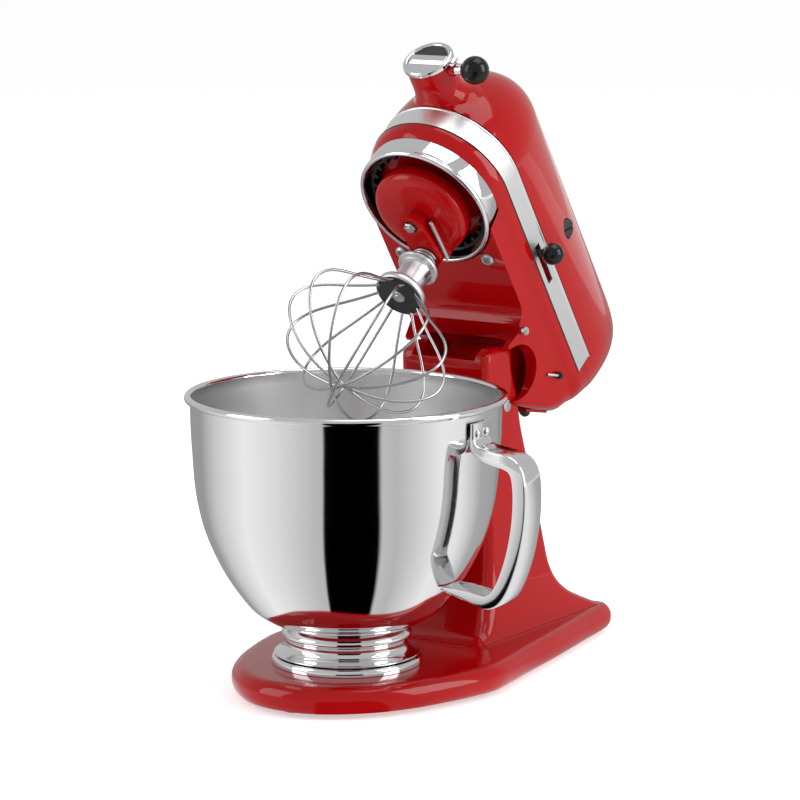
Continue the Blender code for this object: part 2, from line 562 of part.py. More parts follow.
def build_planetary(head):
    px, py = planet_centre()
    profile = (
        (0, 236.0), (9.0, 236.0), (9.0, 227.2), (32.5, 227.2), (PLANETARY_RADIUS, 225.4), (PLANETARY_RADIUS, 218.0),
        (34.0, 214.8), (29.5, 212.8), (16.0, 211.4), (0, 211.0),
    )
    body = add_piece("planetary", turned(profile, 26), RED, (0, 0, 211.0), head)
    axis = math.radians(PLANET_ANGLE)
    outline = []
    for centre, radius, start in (((0.0, 0.0), 9.5, PLANET_ANGLE + 96), ((px, py), 11.2, PLANET_ANGLE - 84)):
        outline += arc(centre, radius, start, start + 168, 6)
    boss = loft([[(x, y, z) for x, y in outline] for z in (201.5, 220.0)])
    cut(body, "beater_boss", boss, "UNION")
    rib_start, rib_end = (4.0, 33.0)
    side = Vector((math.sin(axis), -math.cos(axis))) * 14.5
    along = Vector((math.cos(axis), math.sin(axis)))
    corners = [along * rib_start + side, along * rib_end + side * 0.9]
    across = side.normalized() * 1.5
    outline = [corners[0] - across, corners[0] + across, corners[1] + across, corners[1] - across]
    cut(body, "retaining_rib", loft([[(p.x, p.y, z) for p in outline] for z in (208.5, 216.0)]), "UNION")
    cut(body, "planetary_bores", joined(rod(6.3, 204.5, 240.0), rod(6.3, 190.0, 240.0, (px, py))))
    cut(body, "planetary_screw_hole", rod(3.0, 195.0, 206.0, steps=12))
    add_piece("planetary_shaft", rod(SHAFT_RADIUS, 204.8, 272.0), STEEL, (0, 0, 205.0), head)
    screw = ((0, 204.5), (2.6, 204.5), (2.6, 201.5 - GAP), (4.6, 201.5 - GAP), (4.6, 198.8), (0, 198.8))
    add_piece("planetary_screw", turned(screw, 6), STEEL, (0, 0, 205.0), head, 0)
    root, tip = CENTRE_TEETH * CENTRE_MODULE / 2 - 2.0, CENTRE_TEETH * CENTRE_MODULE / 2 + 1.3
    phase = math.degrees(math.atan2(wheel_centre()[1], wheel_centre()[0]))
    spur = gear_outline(CENTRE_TEETH, root, tip, phase)
    centre_gear = add_piece("centre_gear", gear(((257.0, spur), (263.4, spur))), STEEL, (0, 0, 205.0), head)
    cut(centre_gear, "centre_bevel", bevel_gear(-90.0), "UNION")
    cut(centre_gear, "centre_bore", rod(SHAFT_RADIUS + GAP, 250.0, 280.0))
    ring_root, ring_tip = RING_TEETH * PLANET_MODULE / 2 + 1.9, RING_TEETH * PLANET_MODULE / 2 - 1.2
    teeth = gear_outline(RING_TEETH, ring_root, ring_tip, PLANET_ANGLE + 180.0 / RING_TEETH)
    ring_gear = add_piece("ring_gear", rod(44.6, 228.6, RING_TOP_Z - GAP, steps=24), STEEL, parent=head)
    cut(ring_gear, "ring_teeth", gear(((220.0, teeth), (245.0, teeth))))


def bevel_gear(phase):
    """A bevel with its apex at the hub's height on the centre axis, which the equal gear on the hub's shaft meets."""
    layers = []
    for distance in (20.5, 14.5):
        share = distance / 18.0
        outline = gear_outline(BEVEL_TEETH, distance - 1.9 * share, distance + 1.0 * share, phase)
        layers.append((HUB_Z - distance, outline))
    foot = gear_outline(BEVEL_TEETH, 17.8, 20.4, phase)
    return gear([(263.0, foot)] + layers)


def build_beater(head):
    px, py = planet_centre()
    origin = (px, py, 205.0)
    shaft = add_piece("beater_shaft", rod(SHAFT_RADIUS, 172.0, 237.4, (px, py)), STEEL, origin, head)
    cut(shaft, "drive_pin", moved(rod(1.6, -9.8, 9.8, (py, 180.0), "X", 12), (px, 0, 0)), "UNION")
    root, tip = PLANET_TEETH * PLANET_MODULE / 2 - 1.9, PLANET_TEETH * PLANET_MODULE / 2 + 1.2
    teeth = gear_outline(PLANET_TEETH, root, tip, PLANET_ANGLE)
    pinion = add_piece("beater_pinion", gear(((228.8, teeth), (236.4, teeth)), (px, py)), STEEL, origin, head)
    cut(pinion, "pinion_bore", rod(SHAFT_RADIUS + GAP, 220.0, 240.0, (px, py)))
    add_spring("beater_spring", (px, py), 8.4, 0.9, 192.8, 200.2, 3, head)
    ferrule = (
        (0, 170.5), (6.3, 170.5), (6.3, 191.4), (14.0, 191.4), (15.2, 190.4), (15.2, 188.2), (11.2, 187.0),
        (11.0, 171.0), (12.5, 168.0), (17.6, 166.4), (18.6, 164.0), (18.0, WHISK_TOP_Z + GAP), (0, WHISK_TOP_Z + GAP),
    )
    collar = add_piece("whisk_ferrule", turned(ferrule[::-1], 20, centre=(px, py)), CHROME, origin, head)
    slot = block((px - 11.5, py - 2.0, 177.8), (px + 11.5, py + 2.0, 182.2))
    entry = block((px - 11.5, py - 2.0, 180.0), (px + 11.5, py + 2.0, 195.0))
    cut(collar, "bayonet_slot", slot)
    cut(collar, "bayonet_entry", entry)
    for i in range(WHISK_LOOPS):
        add_wire(f"whisk_wire_{i + 1}", i, (px, py), head)


def moved(shape, offset):
    bmesh.ops.translate(shape, verts=shape.verts, vec=offset)
    return shape


def tube(points, radius, sides=6):
    """A round tube with flat ends along a list of points, its rings carried without twist."""
    loops = []
    normal = None
    for i, point in enumerate(points):
        along = (points[min(i + 1, len(points) - 1)] - points[max(i - 1, 0)]).normalized()
        if normal is None:
            normal = along.orthogonal()
        normal = (normal - along * normal.dot(along)).normalized()
        across = along.cross(normal)
        angles = (2 * math.pi * k / sides for k in range(sides))
        loops.append([point + (normal * math.cos(a) + across * math.sin(a)) * radius for a in angles])
    return loft(loops)


def add_wire(name, order, centre, head):
    """One closed loop of the whisk, crossing the axis a little above the loop before it."""
    turn = math.radians(PLANET_ANGLE + 15.0 + 180.0 * order / WHISK_LOOPS)
    tip = WHISK_TIP_Z + order * (2 * WIRE_RADIUS + GAP)
    lift = tip - WHISK_TIP_Z
    half = []
    for radius, height in WHISK_PROFILE:
        share = (WHISK_TOP_Z - height) / (WHISK_TOP_Z - WHISK_TIP_Z)
        half.append((radius, height + lift * share))
    loop = half + [(0.0, tip)] + [(-r, z) for r, z in reversed(half)]
    points = [Vector((centre[0] + r * math.cos(turn), centre[1] + r * math.sin(turn), z)) for r, z in loop]
    shape = tube(points, WIRE_RADIUS, 4)
    add_piece(name, shape, STEEL, (*centre, 205.0), head)


def add_spring(name, centre, radius, wire, low, high, turns, head):
    count = turns * 10
    points = []
    for i in range(count + 1):
        angle = 2 * math.pi * turns * i / count
        height = low + (high - low) * i / count
        points.append(Vector((centre[0] + radius * math.cos(angle), centre[1] + radius * math.sin(angle), height)))
    add_piece(name, tube(points, wire, 4), STEEL, (*centre, 205.0), head)


def build_motor(head):
    origin = (0.0, 100.0, MOTOR_Z)
    lead = WORM_STARTS * math.pi * WORM_MODULE
    start, end, count = 15.0, 37.0, 14
    worm_loops = []
    middle = wheel_centre()[1]
    for i in range(count + 1):
        y = start + (end - start) * i / count
        turn = 360.0 * (y - middle) / lead
        outline = gear_outline(WORM_STARTS, 5.4, 8.0, turn + 180.0 / WORM_STARTS, 0.42, 0.2)
        # The angle runs from +X towards -Z, which is right-handed about +Y
        worm_loops.append([(x, y, MOTOR_Z - z) for x, z in outline])
    armature = add_piece("armature_shaft", rod(4.0, -200.0, -8.0, (0.0, MOTOR_Z), "-Y", 16), STEEL, origin, head)
    cut(armature, "worm", loft(worm_loops), "UNION")
    cut(armature, "commutator", rod(12.0, -91.0, -74.0, (0.0, MOTOR_Z), "-Y", 16), "UNION")
    core = ring(16.5, 4.3, -138.0, -100.0, (0.0, MOTOR_Z), "-Y", 20)
    add_piece("armature_core", core, COPPER, origin, head)
    fan = add_piece("cooling_fan", ring(12.0, 4.3, -166.0, -150.0, (0.0, MOTOR_Z), "-Y", 18), BLACK, origin, head)
    blades = []
    for i in range(7):
        blade = block((10.0, 151.0, -1.0), (33.0, 165.0, 1.0))
        blade.transform(Matrix.Rotation(2 * math.pi * i / 7, 4, "Y"))
        blades.append(moved(blade, (0, 0, MOTOR_Z)))
    cut(fan, "fan_blades", joined(*blades), "UNION")


def build_worm_wheel(head):
    wx, wy = wheel_centre()
    radius = WORM_MODULE * WHEEL_TEETH / 2
    lead_per_radian = WORM_STARTS * WORM_MODULE / 2
    twist = math.degrees(lead_per_radian / (WORM_RADIUS * radius))
    layers = []
    for step in (-4.5, 0.0, 4.5):
        outline = gear_outline(WHEEL_TEETH, radius - 1.6, radius + 0.9, 180.0 + twist * step, 0.36, 0.18)
        layers.append((MOTOR_Z + step, outline))
    origin = (wx, wy, MOTOR_Z)
    wheel = add_piece("worm_wheel", gear(layers, (wx, wy)), BRASS, origin, head)
    cut(wheel, "wheel_shaft", rod(3.5, 246.0, 312.0, (wx, wy), steps=16), "UNION")
    pinion_radius = CENTRE_MODULE * PINION_TEETH / 2
    phase = math.degrees(math.atan2(-wy, -wx)) + 180.0 / PINION_TEETH
    teeth = gear_outline(PINION_TEETH, pinion_radius - 2.0, pinion_radius + 1.3, phase)
    cut(wheel, "wheel_pinion", gear(((257.4, teeth), (266.0, teeth)), (wx, wy)), "UNION")


def build_hub(head):
    """The power take-off on the nose: bevel gear, square socket, flip cover and clamping knob."""
    bevel = bevel_gear(-90.0 + 180.0 / BEVEL_TEETH)
    bmesh.ops.translate(bevel, verts=bevel.verts, vec=(0, 0, -HUB_Z))
    bevel.transform(Matrix.Rotation(math.radians(-90), 4, "X"))
    bmesh.ops.translate(bevel, verts=bevel.verts, vec=(0, 0, HUB_Z))
    origin = (0.0, -40.0, HUB_Z)
    drive = add_piece("hub_drive", bevel, STEEL, origin, head)
    profile = ((0, 76.0), (11.6, 76.0), (11.6, 58.0), (8.0, 56.0), (8.0, 21.0), (0, 21.0))
    cut(drive, "drive_barrel", turned(profile, 24, False, (0.0, HUB_Z), "-Y"), "UNION")
    cut(drive, "drive_socket", block((-6.0, -80.0, HUB_Z - 6.0), (6.0, -56.0, HUB_Z + 6.0)))
    cap = (
        (0, 83.0), (14.4, 83.0), (15.6, 83.4), (17.2, -CAP_FRONT_Y), (CAP_RADIUS, 82.0), (CAP_RADIUS, 79.0 + GAP),
        (0, 79.0 + GAP),
    )
    hinge_x, hinge_y = CAP_RADIUS + 2.6, HUB_FRONT_Y - 2.4
    lid = turned(cap, 28, False, (0.0, HUB_Z), "-Y")
    cover = add_piece("hub_cover", lid, CHROME, (hinge_x, hinge_y, HUB_Z), head)
    dish = ((0, 84.0), (14.6, 84.0), (14.6, 81.6), (0, 81.6))
    cut(cover, "cover_dish", turned(dish, 24, False, (0.0, HUB_Z), "-Y"))
    cut(cover, "cover_bar", block((-14.8, CAP_FRONT_Y, HUB_Z - 2.4), (14.8, -81.0, HUB_Z + 2.4)), "UNION")
    cut(cover, "cover_lug", block((CAP_RADIUS - 2.0, -82.2, HUB_Z - 3.4), (hinge_x, -79.4, HUB_Z + 3.4)), "UNION")
    cut(cover, "cover_knuckle", rod(2.0, HUB_Z - 3.4, HUB_Z + 3.4, (hinge_x, hinge_y), steps=12), "UNION")
    angles = [math.radians(degrees) for degrees in range(70, -61, -26)]
    ball = [(10.0 * math.cos(angle), 36.0 + 10.0 * math.sin(angle)) for angle in angles]
    knob_profile = [(0, 46.0)] + ball + [(4.4, 26.4), (0, 26.4)]
    knob = add_piece(
        "hub_knob", turned(knob_profile, 18, False, (-74.0, HUB_Z), "X"), BLACK, (30.0, -74.0, HUB_Z), head
    )
    cut(knob, "knob_screw", rod(3.0, 13.2, 30.0, (-74.0, HUB_Z), "X", 16), "UNION")


def build_levers(head):
    """The speed lever on +X and the head lock lever on -X, each a flat arm with a ball on its end."""
    for name, side, y in (("speed", 1.0, 67.0), ("lock", -1.0, 67.0)):
        arm = block((34.0, y - 3.0, 256.1), (60.0, y + 3.0, 258.9))
        centre = (65.0, y, 257.5)
        angles = [math.radians(degrees) for degrees in range(70, -61, -26)]
        ball = [(8.0 * math.cos(angle), 65.0 + 8.0 * math.sin(angle)) for angle in angles]
        profile = [(0, 73.0)] + ball + [(3.6, 57.6), (0, 57.6)]
        shape = turned(profile, 16, False, (y, 257.5), "X")
        bore = block((50.0, y - 3.0 - GAP, 256.1 - GAP), (60.0 + GAP, y + 3.0 + GAP, 258.9 + GAP))
        for item in (arm, shape, bore):
            bmesh.ops.scale(item, verts=item.verts, vec=(side, 1, 1))
            bmesh.ops.recalc_face_normals(item, faces=item.faces)
        origin = (centre[0] * side, centre[1], centre[2])
        add_piece(f"{name}_lever", arm, STEEL, origin, head, 0)
        knob = add_piece(f"{name}_knob", shape, BLACK, origin, head)
        cut(knob, f"{name}_knob_bore", bore)


def build_head():
    head = bpy.data.objects.new("head_tilt_axis", None)
    bpy.context.scene.collection.objects.link(head)
    head.location = Vector(HINGE) * MM
    head.rotation_euler = (math.radians(-HEAD_TILT), 0.0, 0.0)
    build_motor_housing(head)
    build_gearcase(head)
    build_vent_cover(head)
    build_trim(head)
    build_motor_parts(head)
    build_planetary(head)
    build_beater(head)
    build_motor(head)
    build_worm_wheel(head)
    build_hub(head)
    build_levers(head)


clear_scene()
build_base()
build_column()
build_clamp_plate()
build_bowl()
build_handle()
build_head()
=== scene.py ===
"""Tilt-head stand mixer with its head tilted back, dressed for a plain studio picture.

Lengths are in millimetres until Form.piece turns them into metres. +Z is up, -Y is the front and +X is
the speed lever's side. Pieces of the head are drawn with the head lowered, and Tilt carries them to where
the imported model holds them.
"""

import json
import logging
import math
from dataclasses import dataclass, field
from enum import Enum
from typing import Any, Callable, Iterable, Optional, Sequence

import bmesh
import bpy
from mathutils import Matrix, Vector


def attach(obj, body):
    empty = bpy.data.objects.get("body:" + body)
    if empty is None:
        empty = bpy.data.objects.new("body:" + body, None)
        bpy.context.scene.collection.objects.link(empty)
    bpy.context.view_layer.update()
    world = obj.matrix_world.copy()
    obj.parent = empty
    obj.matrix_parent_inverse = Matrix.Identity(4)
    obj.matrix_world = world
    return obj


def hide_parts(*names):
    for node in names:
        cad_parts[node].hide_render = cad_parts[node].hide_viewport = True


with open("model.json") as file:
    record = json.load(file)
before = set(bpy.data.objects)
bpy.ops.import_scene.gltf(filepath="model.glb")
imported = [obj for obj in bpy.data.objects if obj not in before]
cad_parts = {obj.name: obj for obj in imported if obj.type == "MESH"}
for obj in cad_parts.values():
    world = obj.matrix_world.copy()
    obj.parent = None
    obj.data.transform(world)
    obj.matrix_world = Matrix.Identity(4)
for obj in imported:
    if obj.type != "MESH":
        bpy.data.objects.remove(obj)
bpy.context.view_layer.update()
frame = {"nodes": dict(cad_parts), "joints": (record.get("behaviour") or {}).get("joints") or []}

MM = 0.001
GAP = 0.3
BEVEL_ANGLE = 38
EAR_INNER = 26.5
HUB_HEIGHT = 285.7
KNOB_Y = -74.0
Pair = tuple[float, float]
Loop = Sequence[Vector]
log = logging.getLogger("mixer")


# ---------------------------------------------------------------- shader arithmetic

class Sock:
    """A shader value that takes part in Python arithmetic, one Math node for each operation."""

    def __init__(self, paint: "Paint", socket: Any) -> None:
        """Wraps a node's output socket."""
        self.paint = paint
        self.socket = socket

    def maths(self, operation: str, first: Any, second: Any = None) -> "Sock":
        """Adds a Math node.

        Args:
            operation: the Math node's operation.
            first: its first value, a number or a Sock.
            second: its second value, where it takes one.

        Returns:
            The node's output.
        """
        values = {0: first} if second is None else {0: first, 1: second}
        return self.paint.node("ShaderNodeMath", {"operation": operation}, values)

    def __add__(self, other: Any) -> "Sock":
        """self + other."""
        return self.maths("ADD", self, other)

    def __radd__(self, other: Any) -> "Sock":
        """other + self."""
        return self.maths("ADD", other, self)

    def __sub__(self, other: Any) -> "Sock":
        """self - other."""
        return self.maths("SUBTRACT", self, other)

    def __rsub__(self, other: Any) -> "Sock":
        """other - self."""
        return self.maths("SUBTRACT", other, self)

    def __mul__(self, other: Any) -> "Sock":
        """self * other."""
        return self.maths("MULTIPLY", self, other)

    def __rmul__(self, other: Any) -> "Sock":
        """other * self."""
        return self.maths("MULTIPLY", other, self)

    def __pow__(self, other: Any) -> "Sock":
        """self ** other."""
        return self.maths("POWER", self, other)

    def sine(self) -> "Sock":
        """The sine of the value."""
        return self.maths("SINE", self)


class Paint:
    """The node tree of one material, around its Principled shader."""

    def __init__(self, name: str) -> None:
        """Starts a material that holds only the Principled shader and its output."""
        self.material = bpy.data.materials.new(name)
        self.material.use_nodes = True
        self.tree = self.material.node_tree
        self.shader = self.tree.nodes["Principled BSDF"]

    def node(
        self, kind: str, settings: Optional[dict] = None, values: Optional[dict] = None, out: Any = 0
    ) -> Sock:
        """Adds one node.

        Args:
            kind: the node's type.
            settings: its settings; "stops" gives a ramp's (position, grey or colour) pairs.
            values: numbers, colours or Socks for its inputs, by name or place.
            out: the output to return, by name or place.

        Returns:
            That output.
        """
        made = self.tree.nodes.new(kind)
        for key, value in (settings or {}).items():
            if key == "stops":
                self.stops(made.color_ramp, value)
            else:
                setattr(made, key, value)
        for key, value in (values or {}).items():
            self.feed(made.inputs[key], value)
        return Sock(self, made.outputs[out])

    @staticmethod
    def stops(ramp: Any, pairs: Sequence[tuple[float, Any]]) -> None:
        """Sets a ramp's stops from (position, grey or colour) pairs."""
        while len(ramp.elements) < len(pairs):
            ramp.elements.new(0.5)
        for element, (place, shade) in zip(ramp.elements, pairs):
            colour = (shade, shade, shade) if isinstance(shade, (int, float)) else shade
            element.position = place
            element.color = (*colour, 1.0)

    def feed(self, socket: Any, value: Any) -> None:
        """Links a Sock to an input, or sets the input's own value."""
        if isinstance(value, Sock):
            self.tree.links.new(value.socket, socket)
        elif isinstance(value, tuple) and len(value) == 3 and socket.type == "RGBA":
            socket.default_value = (*value, 1.0)
        else:
            socket.default_value = value

    def shade(self, **values: Any) -> None:
        """Feeds the Principled shader's inputs, named with underscores for spaces."""
        for key, value in values.items():
            self.feed(self.shader.inputs[key.replace("_", " ")], value)

    def place(self) -> Sock:
        """The Object coordinates."""
        return self.node("ShaderNodeTexCoord", out="Object")

    def parts(self, vector: Sock) -> tuple[Sock, Sock, Sock]:
        """The three numbers of a vector."""
        split = self.node("ShaderNodeSeparateXYZ", values={0: vector}).socket.node
        return tuple(Sock(self, output) for output in split.outputs)

    def noise(self, scale: float, detail: float = 2.0, vector: Optional[Sock] = None) -> Sock:
        """Noise between 0 and 1 at a scale per metre."""
        where = vector or self.place()
        return self.node("ShaderNodeTexNoise", values={"Vector": where, "Scale": scale, "Detail": detail})

    def mix(self, factor: Any, first: Any, second: Any) -> Sock:
        """A colour between two colours."""
        factor_in, first_in, second_in, colour_out = 0, 6, 7, 2
        values = {factor_in: factor, first_in: first, second_in: second}
        return self.node("ShaderNodeMix", {"data_type": "RGBA"}, values, colour_out)

    def bump(self, height: Sock, strength: float, distance: float) -> None:
        """Roughens the shader's normal by a height in metres of distance."""
        values = {"Height": height, "Strength": strength, "Distance": distance}
        self.shade(Normal=self.node("ShaderNodeBump", values=values))


# ---------------------------------------------------------------- finishes

@dataclass(frozen=True)
class Finish:
    """A finish that every surface can take: a colour, how metallic it is and how rough."""

    name: str
    colour: tuple[float, float, float]
    metallic: float = 0.0
    roughness: float = 0.3
    slot: str = "machined_steel"

    def paint(self) -> Paint:
        """A material with the plain values set."""
        paint = Paint(f"{self.name}_finish")
        paint.shade(Base_Color=self.colour, Metallic=self.metallic, Roughness=self.roughness)
        return paint

    def detail(self, paint: Paint) -> None:
        """Adds the surface's own detail: a slow change of roughness and colour and a fine grain."""
        slow = paint.noise(18.0, 3.0)
        fine = paint.noise(900.0, 2.0)
        dark = tuple(c * 0.86 for c in self.colour)
        rough = self.roughness * (0.85 + slow * 0.3)
        paint.shade(Base_Color=paint.mix(slow, self.colour, dark), Roughness=rough)
        paint.bump(fine, 0.15, 0.00005)

    def material(self) -> bpy.types.Material:
        """The material, made once."""
        known = bpy.data.materials.get(f"{self.name}_finish")
        if known:
            return known
        paint = self.paint()
        self.detail(paint)
        return paint.material


@dataclass(frozen=True)
class Enamel(Finish):
    """Baked enamel: deep colour under a clear gloss, with the faint orange peel of a sprayed coat."""

    peel: float = 0.1

    def detail(self, paint: Paint) -> None:
        """Adds the clear gloss, the peel and a slow change of depth."""
        slow = paint.noise(9.0, 2.0)
        deep = tuple(c * 0.82 for c in self.colour)
        paint.shade(Base_Color=paint.mix(slow, self.colour, deep), Roughness=self.roughness + slow * 0.06)
        paint.shade(Coat_Weight=0.75, Coat_Roughness=0.03, Coat_IOR=1.4, Specular_IOR_Level=0.05)
        paint.bump(paint.noise(420.0, 1.0), self.peel, 0.00006)


@dataclass(frozen=True)
class Polished(Finish):
    """Polished metal with hairline marks along one direction."""

    marks: float = 0.03
    along: tuple[float, float, float] = (60.0, 60.0, 2600.0)

    def detail(self, paint: Paint) -> None:
        """Adds hairlines and slow smears to the roughness."""
        where = paint.node("ShaderNodeMapping", values={"Vector": paint.place(), "Scale": self.along})
        hair = paint.noise(1.0, 3.0, where)
        smear = paint.noise(14.0, 3.0)
        paint.shade(Roughness=self.roughness + smear * (self.marks * 1.2) + hair * self.marks)
        paint.bump(hair, 0.05, 0.00003)


@dataclass(frozen=True)
class Turned(Finish):
    """Metal brushed in rings round the bowl's axis."""

    grain: float = 0.12

    def detail(self, paint: Paint) -> None:
        """Adds rings that follow the height and the distance from the axis."""
        x, y, z = paint.parts(paint.place())
        away = (x * x + y * y) ** 0.5
        rings = paint.node("ShaderNodeCombineXYZ", values={0: away * 1800.0, 1: z * 1800.0, 2: x * 6.0})
        brushed = paint.noise(1.0, 4.0, rings)
        paint.shade(Roughness=self.roughness + brushed * self.grain)
        shade = tuple(c * 0.86 for c in self.colour)
        paint.shade(Base_Color=paint.mix(brushed, self.colour, shade))
        paint.bump(brushed, 0.12, 0.00004)


@dataclass(frozen=True)
class Layered(Finish):
    """A stack or a winding: fine ridges across one axis of the piece."""

    ridges: float = 2200.0
    axis: int = 1

    def detail(self, paint: Paint) -> None:
        """Adds the ridges to the colour and the normal."""
        across = paint.parts(paint.place())[self.axis]
        wave = (across * self.ridges).sine() * 0.5 + 0.5
        dark = tuple(c * 0.55 for c in self.colour)
        paint.shade(Base_Color=paint.mix(wave, dark, self.colour))
        paint.bump(wave, 0.5, 0.0002)


class Finishes(Enum):
    """Every finish on the machine."""

    ENAMEL = Enamel("red_enamel", (0.40, 0.001, 0.002), 0.0, 0.2, "red_enamel")
    BOWL_OUTSIDE = Polished("bowl_mirror", (0.83, 0.83, 0.835), 1.0, 0.03, "bowl_steel", 0.03)
    BOWL_INSIDE = Turned("bowl_brushed", (0.86, 0.86, 0.86), 1.0, 0.24, "bowl_steel")
    HANDLE = Polished("handle_steel", (0.80, 0.80, 0.805), 1.0, 0.06, "bowl_steel", 0.05)
    CHROME = Polished("bright_chrome", (0.80, 0.80, 0.81), 1.0, 0.03, "bright_chrome", 0.02)
    TRIM = Polished("trim_band", (0.86, 0.86, 0.86), 1.0, 0.27, "bright_chrome", 0.1, (900.0, 30.0, 900.0))
    ALUMINIUM = Polished("satin_aluminium", (0.66, 0.66, 0.67), 1.0, 0.2, "satin_aluminium", 0.12)
    STEEL = Polished("machined_steel", (0.56, 0.56, 0.58), 1.0, 0.2, "machined_steel", 0.16)
    WIRE = Polished("whisk_wire", (0.46, 0.46, 0.47), 1.0, 0.12, "machined_steel", 0.08)
    BLACK = Enamel("black_knob", (0.006, 0.006, 0.006), 0.0, 0.12, "black_knob", 0.02)
    OILED = Finish("oiled_gear_steel", (0.05, 0.05, 0.052), 1.0, 0.45, "machined_steel")
    DARK = Finish("dark_plastic", (0.02, 0.02, 0.021), 0.0, 0.45, "black_knob")
    RUBBER = Finish("foot_rubber", (0.025, 0.025, 0.025), 0.0, 0.75, "foot_rubber")
    BRONZE = Finish("bronze", (0.55, 0.36, 0.13), 1.0, 0.35, "bronze")
    WINDINGS = Layered("windings", (0.5, 0.19, 0.08), 1.0, 0.4, "windings")
    IRON = Layered("motor_iron", (0.28, 0.28, 0.29), 1.0, 0.5, "motor_iron", 6000.0)
    CARBON = Finish("carbon", (0.03, 0.03, 0.03), 0.0, 0.6, "carbon")
    BOARD = Finish("board", (0.12, 0.2, 0.07), 0.0, 0.5, "board")


# ---------------------------------------------------------------- shapes

class Axis(Enum):
    """The way a turned shape's own axis points."""

    UP = "Z"
    RIGHT = "X"
    FRONT = "-Y"


class Mode(Enum):
    """What a Boolean does."""

    CUT = "DIFFERENCE"
    ADD = "UNION"


def arc(centre: Pair, radius: float, start: float, end: float, steps: int) -> list[Pair]:
    """Points on an arc, from start to end in degrees."""
    angles = (math.radians(start + (end - start) * i / steps) for i in range(steps + 1))
    return [(centre[0] + radius * math.cos(a), centre[1] + radius * math.sin(a)) for a in angles]


def smooth(points: Sequence[Sequence[float]], steps: int, closed: bool = False) -> list[tuple[float, ...]]:
    """A Catmull-Rom curve through points of any dimension.

    Args:
        points: the points to pass through.
        steps: pieces between two points.
        closed: whether the last point joins the first.

    Returns:
        The finer points.
    """
    count = len(points)
    fine = []
    for i in range(count if closed else count - 1):
        near = [(i + k) % count if closed else min(max(i + k, 0), count - 1) for k in (-1, 0, 1, 2)]
        a, b, c, d = (Vector(points[n]) for n in near)
        for k in range(steps):
            t = k / steps
            spot = 0.5 * (
                2 * b + (c - a) * t + (2 * a - 5 * b + 4 * c - d) * t**2 + (3 * b - a - 3 * c + d) * t**3
            )
            fine.append(tuple(spot))
    return fine if closed else fine + [tuple(points[-1])]


def turn_of(degrees: float, axis: str) -> Matrix:
    """A turn about one of the axes X, Y and Z."""
    return Matrix.Rotation(math.radians(degrees), 4, axis)


def linked(name: str, data: Any) -> bpy.types.Object:
    """Makes a scene object from a mesh, a light or a camera."""
    made = bpy.data.objects.new(name, data)
    bpy.context.scene.collection.objects.link(made)
    return made


